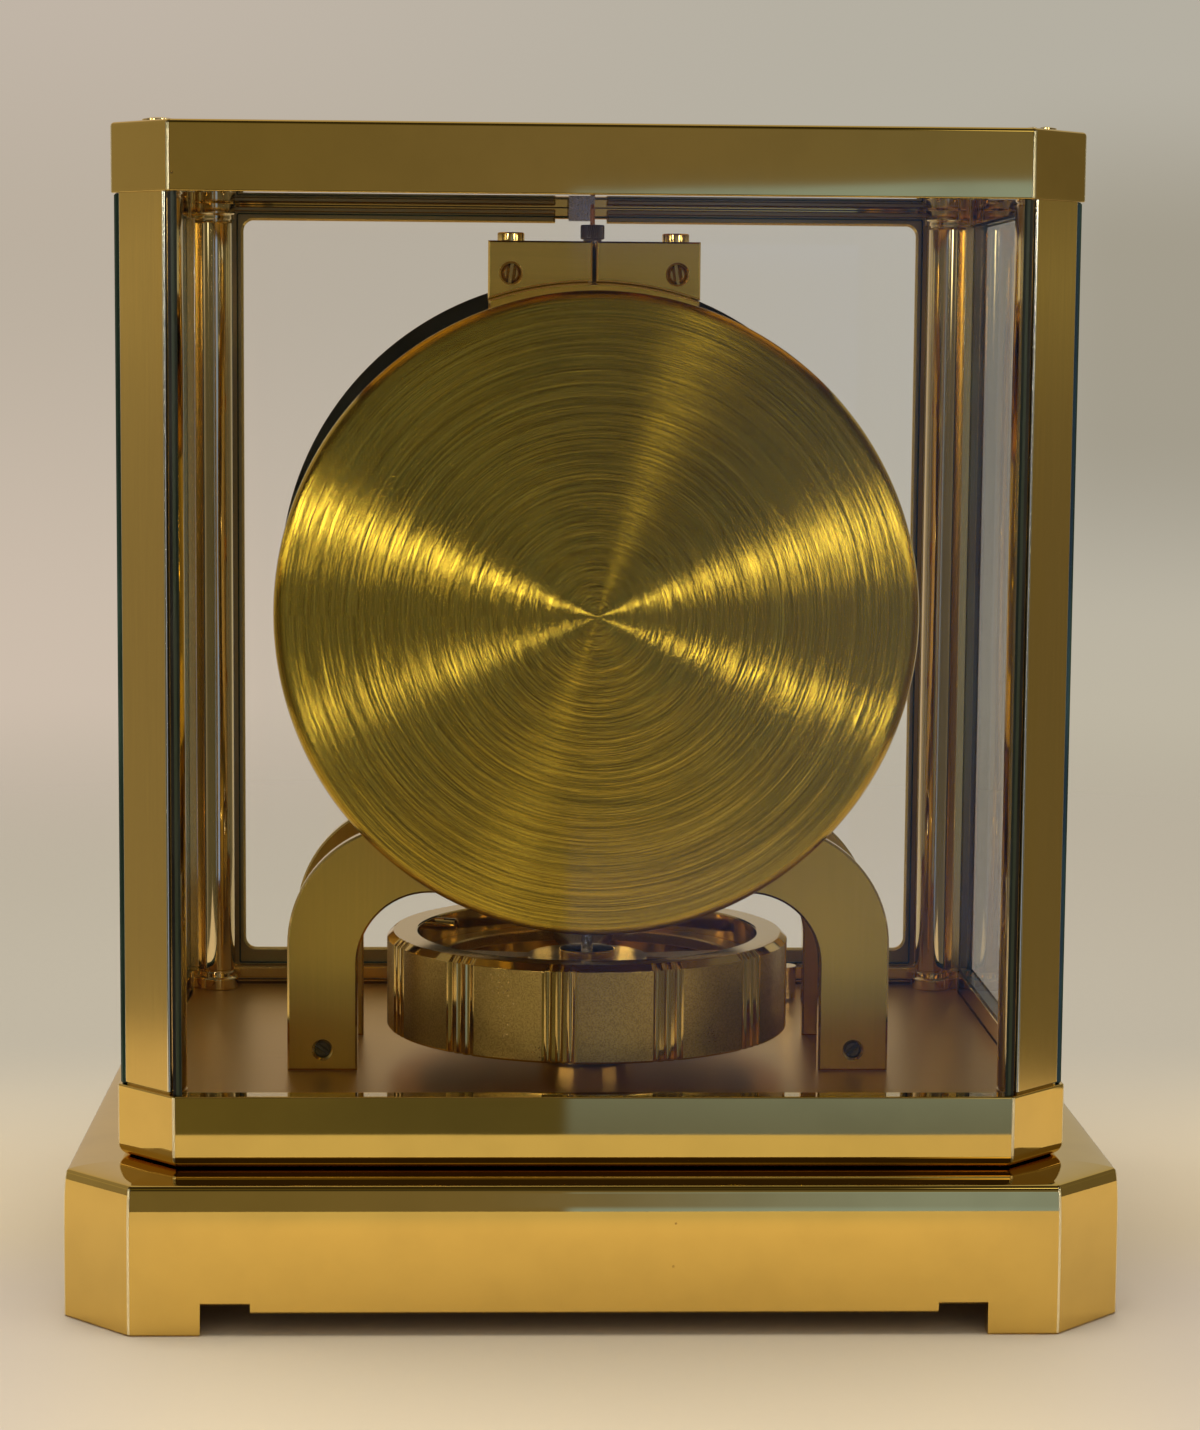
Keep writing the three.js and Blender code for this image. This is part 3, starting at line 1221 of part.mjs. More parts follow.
// A tapered hand that points at the angle given, with a round hub.
function hand(length, width, hub, bore, angle, y) {
  const shape = new THREE.Shape();
  shape.moveTo(0, -width / 2);
  shape.lineTo(length * 0.8, -width * 0.7);
  shape.lineTo(length, 0);
  shape.lineTo(length * 0.8, width * 0.7);
  shape.lineTo(0, width / 2);
  const blade = plateY(shape, y, y + HAND_THICKNESS);
  const body = join(blade, bar("y", hub, y, y + HAND_THICKNESS));
  const tail = plateY(outline([[-hub * 2, -width / 3], [0, -width / 2], [0, width / 2],
    [-hub * 2, width / 3]]), y, y + HAND_THICKNESS);
  const whole = join(body, tail);
  const drilled = bore ? cut(whole, bar("y", bore, y - 1, y + HAND_THICKNESS + 1)) : whole;
  return drilled.rotate([0, -THREE.MathUtils.radToDeg(angle), 0]);
}

function buildDial() {
  const group = assembly();
  add(group, "dial_ring", dialRing(), GILT, 0, 0, centreZ);
  add(group, "minute_wheel", minuteWheel(), GILT, 0, 0, minuteZ);
  add(group, "hour_wheel", hourWheel(), GILT, 0, 0, centreZ);
  add(group, "hour_hand", hand(HOUR_HAND_LENGTH, HOUR_HAND_WIDTH, HOUR_HUB,
    CENTRE_ARBOR + RUN, hourAngle, hourHandY), DARK, 0, 0, centreZ);
  add(group, "minute_hand", hand(MINUTE_HAND_LENGTH, MINUTE_HAND_WIDTH, MINUTE_HUB,
    0, minuteAngle, minuteHandY), DARK, 0, 0, centreZ);
}

// Knurled wheel of a levelling foot, trapped between its boss and the pad.
function thumbWheel() {
  const knurls = 18;
  const points = [];
  for (let k = 0; k < 2 * knurls; k += 1) {
    const radius = THUMB_RADIUS - (k % 2) * 0.6;
    const angle = (Math.PI * k) / knurls;
    points.push([radius * Math.cos(angle), radius * Math.sin(angle)]);
  }
  const shape = outline(points);
  shape.holes.push(circlePath(LEVEL_SCREW + RUN));
  return plateZ(shape, THUMB_LIFT, THUMB_LIFT + THUMB_THICKNESS);
}

function levellingFoot() {
  return join(
    bar("z", LEVEL_PAD, 0, LEVEL_PAD_HEIGHT),
    bar("z", LEVEL_SCREW, 0, LEVEL_SCREW_LENGTH, 0, 0, 0, 20),
  );
}

function lockLever() {
  const z0 = floorTop + GAP;
  const z1 = z0 + LEVER_THICKNESS;
  return join(
    bar("z", LEVER_HUB, z0, z1),
    block(0, LEVER_LENGTH, -LEVER_WIDTH / 2, LEVER_WIDTH / 2, z0, z1),
    bar("z", KNOB_RADIUS, z0, z1 + KNOB_HEIGHT, LEVER_LENGTH, 0, 0, 16),
    bar("z", STEM_RADIUS, floorTop - STEM_LENGTH, z0 + 1, 0, 0, 0, 16),
  );
}

function lockPlate() {
  const z0 = floorTop + GAP;
  return join(
    bar("z", LOCK_PLATE_RADIUS, z0, z0 + LOCK_PLATE_THICKNESS),
    bar("z", STEM_RADIUS, floorTop - STEM_LENGTH, z0 + 1, 0, 0, 0, 16),
  );
}

function buildFittings() {
  const group = assembly();
  for (const [side, across] of SIDES) {
    add(group, `levelling_wheel_${side}`, thumbWheel(), GILT, across * wheelX, thumbY);
    add(group, `levelling_foot_${side}`, levellingFoot(), STEEL, across * wheelX, thumbY);
  }
  add(group, "lock_lever", lockLever(), GILT, LEVER_X, leverY);
  add(group, "lock_plate", lockPlate(), GILT, 0, balanceY);
  const vial = cut(
    bar("z", LEVEL_RADIUS, floorTop, floorTop + LEVEL_HEIGHT),
    bar("z", LEVEL_RADIUS - 1.5, floorTop + LEVEL_HEIGHT - 0.8, floorTop + 2 * LEVEL_HEIGHT),
  );
  add(group, "spirit_level", vial, GILT, 0, levelY);
}

// Arbors that run between the bridge and the front plate: x, z and radius.
const arbors = [
  [barrelX, barrelZ, BARREL_ARBOR],
  [0, centreZ, CENTRE_ARBOR],
  [thirdX, thirdZ, ARBOR],
  [escapeX, escapeZ, ARBOR],
  [0, anchorZ, ARBOR],
];

buildCase();
buildStand(chainX, arbors);
buildBalance();
buildBellows(chainX);
buildTrain(arbors);
buildDial();
buildFittings();

export default clock;
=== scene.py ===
# %% [markdown]
# # An atmospheric clock in a glazed gilt case
#
# This lesson dresses a imported CAD model of the clock. The CAD gives every moving body and its
# place in metres. Here each visible piece gets its real surface: rounded edges that catch the
# light, brushed and mirror-polished gilding, and glass with green ground edges.
#
# The frame is loaded first. Nothing here may change the clock's size.

# %% Load the frame
import math
import bpy
import numpy as np
from mathutils import Matrix, Vector
from mathutils.geometry import tessellate_polygon


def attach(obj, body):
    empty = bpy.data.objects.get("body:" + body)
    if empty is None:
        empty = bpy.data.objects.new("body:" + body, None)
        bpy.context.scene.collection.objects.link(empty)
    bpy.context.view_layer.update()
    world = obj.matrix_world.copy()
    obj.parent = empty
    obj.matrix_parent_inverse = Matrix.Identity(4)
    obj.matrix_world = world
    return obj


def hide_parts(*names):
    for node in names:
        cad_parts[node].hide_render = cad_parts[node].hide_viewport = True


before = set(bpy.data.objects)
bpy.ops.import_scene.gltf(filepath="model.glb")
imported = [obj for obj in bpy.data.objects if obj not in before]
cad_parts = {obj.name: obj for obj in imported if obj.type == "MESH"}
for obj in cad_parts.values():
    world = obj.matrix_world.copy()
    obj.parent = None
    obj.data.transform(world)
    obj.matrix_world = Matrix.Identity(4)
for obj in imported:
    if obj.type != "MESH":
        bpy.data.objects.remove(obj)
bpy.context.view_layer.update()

# %% [markdown]
# ## The camera
#
# The camera stands behind the clock, on the side of the bellows drum, a little above the middle
# and slightly to the left. Its place was worked out from the straight edges of the case. The lens
# follows from how far the picture's plane lies from the eye, counted in the picture's pixels.

# %% Camera
PITCH, YAW, ROLL = np.radians([6.341, 2.067, -0.467])
EYE = (-0.02245, -0.70195, 0.19037)
PLANE_PIXELS, LONG_SIDE_PIXELS = 3275.5, 1430
forward = np.array([math.sin(YAW) * math.cos(PITCH), math.cos(YAW) * math.cos(PITCH), -math.sin(PITCH)])
level = np.array([math.cos(YAW), -math.sin(YAW), 0.0])
upward = np.cross(level, forward)
right = level * math.cos(ROLL) - upward * math.sin(ROLL)
over = level * math.sin(ROLL) + upward * math.cos(ROLL)
camera = bpy.data.objects.new("camera", bpy.data.cameras.new("camera"))
camera.data.lens = camera.data.sensor_width * PLANE_PIXELS / LONG_SIDE_PIXELS
turn = Matrix(np.stack([right, over, -forward], axis=1).tolist())
camera.matrix_world = Matrix.Translation(EYE) @ turn.to_4x4()
bpy.context.scene.collection.objects.link(camera)
bpy.context.scene.camera = camera
print("camera", np.round(camera.location, 3), "lens", round(camera.data.lens, 2))

# %% [markdown]
# ## Surfaces from arrays
#
# Every shape below is an outline or a profile that is worked out as a whole array and then carried
# along a path. Real metal has no perfectly sharp edge, and a mirror finish shows that at once: a
# rounded edge is where the bright line comes from. So the first helper rounds the corners of an
# outline, and the others carry it.
#
# All sizes are written in millimetres, as on a workshop drawing, and become metres in the mesh.

# %% Round the corners of an outline
MM = 0.001


def rounded(corners, radii, steps=4):
    """Outline with rounded corners. Each arc starts where a circle of that radius touches the
    side coming in, and turns by equal angles until it touches the side going out. A corner of
    radius 0 stays one point."""
    p = np.asarray(corners, float)
    r = np.broadcast_to(np.asarray(radii, float), len(p))
    before, after = p - np.roll(p, 1, 0), np.roll(p, -1, 0) - p
    before /= np.linalg.norm(before, axis=1, keepdims=True)
    after /= np.linalg.norm(after, axis=1, keepdims=True)
    cross = before[:, 0] * after[:, 1] - before[:, 1] * after[:, 0]
    bend = np.arctan2(cross, (before * after).sum(1))
    side = np.sign(bend)[:, None] * np.stack([-before[:, 1], before[:, 0]], 1)
    start = p - before * (r * np.tan(np.abs(bend) / 2))[:, None]
    part = np.linspace(0, 1, steps + 1)
    c, s = np.cos(bend[:, None] * part), np.sin(bend[:, None] * part)
    out = -side[:, None, :]
    spoke = np.stack([out[..., 0] * c - out[..., 1] * s, out[..., 0] * s + out[..., 1] * c], -1)
    arc = (start + side * r[:, None])[:, None, :] + r[:, None, None] * spoke
    return arc[(r[:, None] > 0) | (part == 0)]


def box(left, right, low, high, radius, steps=4):
    """Rectangle with rounded corners."""
    return rounded([(left, low), (right, low), (right, high), (left, high)], radius, steps)


def spun(points, degrees):
    """Turns a drawing about its origin, anticlockwise."""
    c, s = math.cos(math.radians(degrees)), math.sin(math.radians(degrees))
    return points @ np.array([[c, s], [-s, c]])


def arc(x, y, radius, start, end, steps):
    """Points on a circle: centre plus radius times (cos, sin), the angle going evenly from
    start to end in degrees."""
    a = np.radians(np.linspace(start, end, steps))
    return np.stack([x + radius * np.cos(a), y + radius * np.sin(a)], 1)


# %% Faces of a grid, a turned shape and a plate
def strips(rows, columns, close_rows):
    """Quads between neighbouring points of a grid whose columns go all the way round."""
    i = np.arange(rows if close_rows else rows - 1)[:, None]
    j = np.arange(columns)[None, :]
    k, m = (i + 1) % rows, (j + 1) % columns
    return np.stack([i * columns + j, i * columns + m, k * columns + m, k * columns + j], -1).reshape(-1, 4)


def sleeve(rings, close=True):
    """Closed skin over rings of points, one ring per row. A closed profile joins the last ring to
    the first, and an open one gets a flat face over each end ring."""
    rings = np.asarray(rings, float)
    rows, columns = rings.shape[:2]
    faces = strips(rows, columns, close).tolist()
    if not close:
        faces += [list(range(columns))[::-1], list(range((rows - 1) * columns, rows * columns))]
    return rings.reshape(-1, 3), faces


AXES = {"x": (1, 2, 0), "y": (0, 2, 1), "z": (0, 1, 2)}


def lay(a, b, h, axis):
    """Puts a drawing in the plane across an axis: a and b are the two sides of the drawing, in
    the order x y z, and h is the place along the axis."""
    points = np.zeros(np.broadcast(a, b, h).shape + (3,))
    for value, place in zip((a, b, h), AXES[axis]):
        points[..., place] = value
    return points


def turned(profile, centre, axis="z", sides=64):
    """Surface of revolution: each profile point (r, h) runs round the axis, at a = r cos u and
    b = r sin u. A point with r = 0 is a pole and stays single."""
    profile = np.asarray(profile, float)
    u = np.arange(sides) * 2 * np.pi / sides
    r, h = profile[:, :1], profile[:, 1:]
    grid = lay(centre[0] + r * np.cos(u), centre[1] + r * np.sin(u), h + 0 * u, axis)
    poled = profile[0, 0] == 0 and profile[-1, 0] == 0
    if not poled:
        return sleeve(grid)
    skin = grid[1:-1].reshape(-1, 3)
    first, last = len(skin), len(skin) + 1
    faces = strips(len(grid) - 2, sides, False).tolist()
    j = np.arange(sides)
    start = (len(grid) - 3) * sides
    faces += np.stack([np.full(sides, first), (j + 1) % sides, j], 1).tolist()
    faces += np.stack([np.full(sides, last), start + j, start + (j + 1) % sides], 1).tolist()
    return np.concatenate([skin, grid[:1, 0], grid[-1:, 0]]), faces


def inset(loop, depth):
    """Moves an outline inwards: each point goes along the bisector of its two sides, far enough
    that both sides move by the depth."""
    before, after = loop - np.roll(loop, 1, 0), np.roll(loop, -1, 0) - loop
    n1 = np.stack([-before[:, 1], before[:, 0]], 1) / np.linalg.norm(before, axis=1, keepdims=True)
    n2 = np.stack([-after[:, 1], after[:, 0]], 1) / np.linalg.norm(after, axis=1, keepdims=True)
    both = n1 + n2
    return loop + depth * 2 * both / (both ** 2).sum(1, keepdims=True)


def plate(loops, low, high, axis="y", chamfer=0.25):
    """Flat plate between two heights. Its edge runs round the first outline, anticlockwise, and
    round each hole, clockwise. The edge has four rows: the face's border, which is the outline
    moved inwards by the chamfer, the wall's two borders, and the other face's border. A chamfer
    is a pair when the two faces differ."""
    near, far = np.broadcast_to(chamfer, 2)
    points, faces, ends, count = [], [], ([], []), 0
    for loop in loops:
        loop = np.asarray(loop, float)
        rows = [(inset(loop, near), low)] if near else []
        rows += [(loop, low + near), (loop, high - far)]
        rows += [(inset(loop, far), high)] if far else []
        grid = np.stack([lay(p[:, 0], p[:, 1], h, axis) for p, h in rows])
        points.append(grid.reshape(-1, 3))
        faces += (strips(len(rows), len(loop), False) + count).tolist()
        last = count + (len(rows) - 1) * len(loop)
        ends[0].append((rows[0][0], count))
        ends[1].append((rows[-1][0], last))
        count = last + len(loop)
    marks = [1] * len(faces)
    for end, flip in zip(ends, (False, True)):
        flat = [[(x, y, 0.0) for x, y in p] for p, _ in end]
        index = np.concatenate([first + np.arange(len(p)) for p, first in end])
        cover = index[np.asarray(tessellate_polygon(flat))]
        drawing = np.concatenate([p for p, _ in end])
        a, b, c = (drawing[np.searchsorted(index, cover[:, k])] for k in range(3))
        area = (b[:, 0] - a[:, 0]) * (c[:, 1] - a[:, 1]) - (b[:, 1] - a[:, 1]) * (c[:, 0] - a[:, 0])
        cover = np.where((area > 0)[:, None] == flip, cover, cover[:, ::-1])
        faces += cover.tolist()
        marks += [0] * len(cover)
    return np.concatenate(points), faces, marks


# %% [markdown]
# A piece is one or more closed skins in one mesh. A skin whose enclosed volume comes out negative
# is inside out, so its faces are turned over. Flat faces meet rounded edges everywhere on this
# clock, so each piece is smoothed by angle and gets a Weighted Normal modifier: it lets a large
# flat face keep its own direction, and only the small faces of the rounding bend the light.

# %% Make a piece
def facing_out(points, faces):
    """Volume inside the skin as the sum of tetrahedra from the origin to every face's fan of
    triangles. A negative volume turns every face over."""
    fans = [(f[0], f[k], f[k + 1]) for f in faces for k in range(1, len(f) - 1)]
    a, b, c = (points[np.array(fans)[:, k]] for k in range(3))
    volume = (a * np.cross(b, c)).sum() / 6
    return [f[::-1] for f in faces] if volume < 0 else faces


def piece(name, skins, looks, body, stands_for):
    """Joins closed skins, each of points in millimetres and faces, into one finished piece."""
    points, faces, marks, count = [], [], [], 0
    for skin in skins:
        p, f = skin[0], facing_out(*skin[:2])
        points.append(p * MM)
        faces += [[v + count for v in face] for face in f]
        marks += list(skin[2]) if len(skin) > 2 else [0] * len(f)
        count += len(p)
    mesh = bpy.data.meshes.new(name)
    mesh.from_pydata(np.concatenate(points).tolist(), [], faces)
    mesh.polygons.foreach_set("material_index", np.array(marks, np.int32))
    mesh.shade_smooth()
    mesh.set_sharp_from_angle(angle=math.radians(32))
    obj = bpy.data.objects.new(name, mesh)
    for look in looks:
        mesh.materials.append(look)
    bpy.context.scene.collection.objects.link(obj)
    weighted = obj.modifiers.new("flat faces stay flat", "WEIGHTED_NORMAL")
    weighted.keep_sharp = True
    weighted.weight = 60
    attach(obj, body)
    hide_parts(*stands_for)
    print(f"{name}: {len(mesh.vertices)} points, {len(mesh.polygons)} faces on {body}")
    return obj


def mirrored(skins, signs):
    """The same skins on the other side: every point times a sign for x, y and z."""
    return [(skin[0] * np.array(signs, float), *skin[1:]) for skin in skins]


# %% [markdown]
# ## Shader maths
#
# A finish is a small network of nodes. Written as plain sums it is easier to read, so one class
# wraps a socket: adding or multiplying two of them adds a Math node. Any other node comes from
# its one method `node`.

# %% Sockets that do sums
class Wire:
    """A socket of a shader. Sums on it add Math nodes."""

    def __init__(self, tree, socket):
        self.tree, self.socket = tree, socket

    def node(self, kind, settings=None, inputs=None, out=0):
        """Adds a node: its type, then its settings, then the values or links of its sockets."""
        made = self.tree.nodes.new("ShaderNode" + kind)
        for key, value in (settings or {}).items():
            setattr(made, key, value)
        for key, value in (inputs or {}).items():
            if isinstance(value, Wire):
                self.tree.links.new(value.socket, made.inputs[key])
            else:
                made.inputs[key].default_value = value
        return Wire(self.tree, made.outputs[out])

    def sum(self, operation, *others):
        """A Math node on this socket and the others."""
        return self.node("Math", {"operation": operation}, dict(enumerate((self, *others))))

    def __add__(self, other):
        return self.sum("ADD", other)

    def __sub__(self, other):
        return self.sum("SUBTRACT", other)

    def __rsub__(self, other):
        return self * -1 + other

    def __mul__(self, other):
        return self.sum("MULTIPLY", other)

    def __truediv__(self, other):
        return self.sum("DIVIDE", other)

    def __pow__(self, other):
        return self.sum("POWER", other)

    def ease(self, low, high):
        """0 below low, 1 above high, and a smooth step between them. Low may be above high."""
        if low > high:
            return 1 - self.ease(high, low)
        settings = {"interpolation_type": "SMOOTHSTEP"}
        return self.node("MapRange", settings, {0: self, 1: low, 2: high, 3: 0.0, 4: 1.0})

    def parts(self):
        """The three numbers of a vector."""
        split = self.node("SeparateXYZ", inputs={0: self})
        return [Wire(self.tree, split.socket.node.outputs[k]) for k in range(3)]

    def vector(self, operation, other=None, out=0):
        """A Vector Math node. LENGTH needs its second output."""
        inputs = {0: self} if other is None else {0: self, 1: other}
        return self.node("VectorMath", {"operation": operation}, inputs, out)

    def noise(self, scale, detail=2.0, rough=0.5, stretch=(1, 1, 1)):
        """Soft noise between 0 and 1. A large stretch packs the pattern tightly that way."""
        place = self if stretch == (1, 1, 1) else self.vector("MULTIPLY", stretch)
        return self.node("TexNoise", {}, {"Vector": place, "Scale": scale, "Detail": detail,
                                          "Roughness": rough})


def between(factor, low, high):
    """Mixes two colours by a factor."""
    wire = next(w for w in (factor, low, high) if isinstance(w, Wire))
    full = [c if isinstance(c, Wire) else (*c, 1.0) for c in (low, high)]
    settings = {"data_type": "RGBA", "blend_type": "MIX"}
    return wire.node("Mix", settings, {0: factor, 6: full[0], 7: full[1]}, 2)


def shade(colour, factor):
    """The colour times a factor, or each of its parts times its own."""
    return tuple(np.multiply(colour, factor).tolist())


# %% A finish, from its first node to its last
def start(name):
    """A new material and a wire with the place on the piece, in metres."""
    look = bpy.data.materials.new(name)
    look.use_nodes = True
    look.node_tree.nodes.clear()
    coordinates = look.node_tree.nodes.new("ShaderNodeTexCoord")
    return look, Wire(look.node_tree, coordinates.outputs["Object"])


def finish(look, surface):
    """Joins the last shader to the material's output."""
    end = look.node_tree.nodes.new("ShaderNodeOutputMaterial")
    look.node_tree.links.new(surface.socket, end.inputs["Surface"])
    return look


def principled(place, **sockets):
    """The one shader that every finish ends in."""
    names = {key.replace("_", " "): value for key, value in sockets.items()}
    return place.node("BsdfPrincipled", inputs=names)


def relief(place, height):
    """Bumps the surface by a height in metres."""
    return place.node("Bump", inputs={"Height": height, "Distance": 1.0, "Strength": 1.0})


def metal(look, place, tint, rough, normal):
    """Ends a metal finish."""
    return finish(look, principled(place, Base_Color=tint, Metallic=1.0, Roughness=rough, Normal=normal))


# %% [markdown]
# ## Gilding
#
# Nearly everything here is brass with a layer of gold. What differs is how it was worked before
# gilding. Plinth, rim and cap were buffed to a mirror, so their colour is what they reflect, seen
# through gold; a real buffed face is never quite flat, so it gets a very low swell, fine hairlines
# and a few tiny specks. The bracket, legs and posts were drawn over abrasive in one direction.

# %% Mirror gilding
GOLD = (0.77, 0.53, 0.14)


def mirror_gilt(name, colour=GOLD, polish=0.022):
    """Buffed gold: a low swell, hairlines in two directions, and specks."""
    look, place = start(name)
    swell = place.noise(22.0, 1.0) * 2.0e-5
    hair = place.noise(900.0, 2.0, stretch=(0.04, 1, 1)).ease(0.66, 0.8)
    haze = place.noise(60.0, 3.0, 0.6)
    cells = place.node("TexVoronoi", {"feature": "F1"}, {"Vector": place, "Scale": 210.0})
    specks = cells.ease(0.075, 0.045) * place.noise(35.0, 0.0).ease(0.68, 0.74)
    tint = between(haze.ease(0.35, 0.75), colour, shade(colour, 0.93))
    tint = between(specks * 0.55, tint, (0.30, 0.13, 0.03))
    rough = haze * 0.012 + hair * 0.015 + specks * 0.2 + (polish - 0.006)
    normal = relief(place, swell + hair * 1.2e-7)
    return metal(look, place, tint, rough, normal)


MIRROR = mirror_gilt("mirror gilding")
MIRROR_CAP = mirror_gilt("mirror gilding of the cap", polish=0.03)
# Paler gold for the upright corners: a painted highlight.
HIGHLIT_CORNER_GILDING = mirror_gilt("upright corners paled as painted highlight", (0.97, 0.84, 0.52), 0.36)


# %% Brushed gilding
def brushed_gilt(name, stretch, colour, rough, depth):
    """Gold drawn over abrasive: long streaks of noise, very fine across the grain and long along
    it, in the relief, the roughness and a little in the colour."""
    look, place = start(name)
    fine = place.noise(5200.0, 2.0, 0.6, stretch)
    coarse = place.noise(1900.0, 3.0, 0.6, stretch)
    cloud = place.noise(38.0, 2.0)
    tint = between(coarse.ease(0.25, 0.8), shade(colour, 0.93), colour)
    tint = between(cloud.ease(0.3, 0.8) * 0.3, tint, shade(colour, 0.93))
    spread = fine * 0.10 + cloud * 0.04 + (rough - 0.07)
    normal = relief(place, fine * (1.4e-6 * depth) + coarse * (2.6e-6 * depth))
    return metal(look, place, tint, spread, normal)


POST = brushed_gilt("posts drawn lengthwise", (1, 1, 0.02), (0.77, 0.53, 0.15), 0.17, 0.6)
LEG = brushed_gilt("plates brushed upright", (1, 1, 0.03), (0.72, 0.46, 0.07), 0.34, 0.9)
BLOCK = brushed_gilt("bracket brushed across", (0.03, 1, 1), (0.72, 0.47, 0.085), 0.31, 0.9)
FLOOR = brushed_gilt("floor plate brushed across", (0.02, 1, 1), (0.64, 0.40, 0.11), 0.36, 1.2)
# The door frame's bars are a darkened gold: painted shade.
SHADED_RAIL = brushed_gilt("door frame with a fine satin, darkened as painted shade", (0.3, 1, 1), (0.36, 0.285, 0.12), 0.32, 0.6)
RAIL_EDGE = brushed_gilt("rounded edge of the door frame", (0.3, 1, 1), (0.72, 0.52, 0.17), 0.2, 0.5)
COLUMN = mirror_gilt("polished columns", (0.78, 0.62, 0.33), 0.06)
# A near-white gold for the rounded edges of the posts: a painted highlight.
POST_EDGE_HIGHLIGHT = mirror_gilt("painted highlight on the post edges", (0.97, 0.90, 0.68), 0.12)
EDGE = mirror_gilt("polished edges", (0.84, 0.60, 0.20), 0.12)


# %% [markdown]
# ## The turned face of the drum
#
# The drum's face was finished on a lathe, so its grooves are circles. Each groove tilts the metal
# towards or away from the middle, never sideways, which is why a lamp becomes a straight bright
# line through the centre. Here that tilt is written directly: the normal leans along the radius by
# a random amount for each stretch of each very thin ring. Longer arcs of noise, a fifth of a
# millimetre apart, darken the gold a little and are the grooves that can be seen.

# %% Lathe-turned gilding
DRUM_Z = 138.6


def turned_gilt(name, colour, lean=0.46):
    """Normal plus radius direction times a random lean. The lean is the sum of three random
    numbers for a cell of ring and sector, which comes out bell-shaped."""
    look, place = start(name)
    away = place.vector("SUBTRACT", (0.0, 0.0, DRUM_Z * MM))
    flat = away.vector("MULTIPLY", (1.0, 0.0, 1.0))
    reach = flat.vector("LENGTH", out=1)
    spoke = flat.vector("NORMALIZE")
    x, _, z = flat.parts()
    angle = z.sum("ARCTAN2", x)
    total = None
    for rings, sectors, layer in ((61000.0, 2.0, 0.0), (90000.0, 3.1, 7.0), (37000.0, 1.3, 13.0)):
        ring = (reach * rings).sum("FLOOR")
        sector = (angle * sectors + ring * 0.37).sum("FLOOR")
        cell = place.node("CombineXYZ", inputs={0: ring, 1: sector, 2: layer})
        random = place.node("TexWhiteNoise", {"noise_dimensions": "3D"}, {"Vector": cell})
        total = random if total is None else total + random
    arcs = place.node("CombineXYZ", inputs={0: reach * 5600.0, 1: angle * 0.9, 2: 0.3})
    groove = place.node("TexNoise", {}, {"Vector": arcs, "Scale": 1.0, "Detail": 1.0, "Roughness": 0.5})
    swathes = place.node("CombineXYZ", inputs={0: reach * 700.0, 1: angle * 1.2, 2: 2.0})
    broad = place.node("TexNoise", {}, {"Vector": swathes, "Scale": 1.0, "Detail": 2.0})
    tilt = (total - 1.5) * lean + (groove - 0.5) * 0.03 + 0.03
    lean_vector = spoke.node("VectorMath", {"operation": "SCALE"}, {0: spoke, "Scale": tilt})
    normal = place.node("NewGeometry", out="Normal").vector("ADD", lean_vector)
    normal = normal.vector("NORMALIZE")
    tint = between(groove.ease(0.3, 0.7), shade(colour, 0.74), shade(colour, 1.08))
    tint = between(broad.ease(0.4, 0.7) * 0.3, tint, shade(colour, 0.85))
    rough = groove * 0.05 + 0.095
    return metal(look, place, tint, rough, normal)


DRUM = turned_gilt("drum face turned on a lathe", (0.63, 0.425, 0.045))


# %% [markdown]
# ## Frosted gilding, steel and dark parts
#
# Between its polished flutes the balance ring is frosted: pitted so finely that it glitters. Small
# parts are steel, and the back of the dial is painted near black as shade.

# %% Frost, steel and dark finishes
GRAIN = 0.00022


def frosted_gilt(name, colour):
    """Pitted gold: sharp noise in the relief, and single bright grains in the roughness."""
    look, place = start(name)
    pits = place.noise(5200.0, 3.0, 0.7)
    grains = place.node("TexWhiteNoise", {"noise_dimensions": "3D"},
                        {"Vector": place.vector("SNAP", (GRAIN, GRAIN, GRAIN))})
    cloud = place.noise(90.0, 2.0)
    tint = between(grains, shade(colour, 0.72), shade(colour, 1.12))
    rough = 0.40 - grains * 0.16 + cloud * 0.08
    normal = relief(place, pits * 1.2e-5 + grains * 7e-6)
    return metal(look, place, tint, rough, normal)


def steel(name, colour, rough):
    """Ground steel with fine grain and faint clouds."""
    look, place = start(name)
    grain = place.noise(3000.0, 2.0, 0.6)
    cloud = place.noise(120.0, 2.0)
    tint = between(cloud.ease(0.3, 0.8) * 0.5, colour, shade(colour, 0.8))
    spread = grain * 0.12 + (rough - 0.06)
    normal = relief(place, grain * 3e-6)
    return metal(look, place, tint, spread, normal)


FROST = frosted_gilt("frosted gilding", (0.40, 0.265, 0.065))
STEEL = steel("ground steel", (0.50, 0.49, 0.46), 0.26)
DARK = steel("brown steel", (0.19, 0.15, 0.115), 0.34)
SHADED_DIAL_BACK = steel("back of the dial painted dark as shade", (0.035, 0.035, 0.028), 0.5)
# Darker copies of gilt and steel for the screws in their recesses: painted shade.
SHADED_GILT_SCREW = steel("gilt screw darkened as painted shade of its recess", (0.55, 0.34, 0.08), 0.2)
SHADED_STEEL_SCREW = steel("steel screw darkened as painted shade of its recess", (0.20, 0.18, 0.12), 0.3)
TUBE = steel("bright tube round the wire", (0.92, 0.78, 0.52), 0.3)

# %% [markdown]
# ## Glass
#
# A pane shows three things: what is behind it, a faint reflection that grows towards grazing
# angles, and green where one looks into its cut edge. The pane is a near mirror that is almost
# transparent. How opaque it is follows the rule of thumb for glass: very little face on, rising
# with the fifth power of how far the face is turned away.

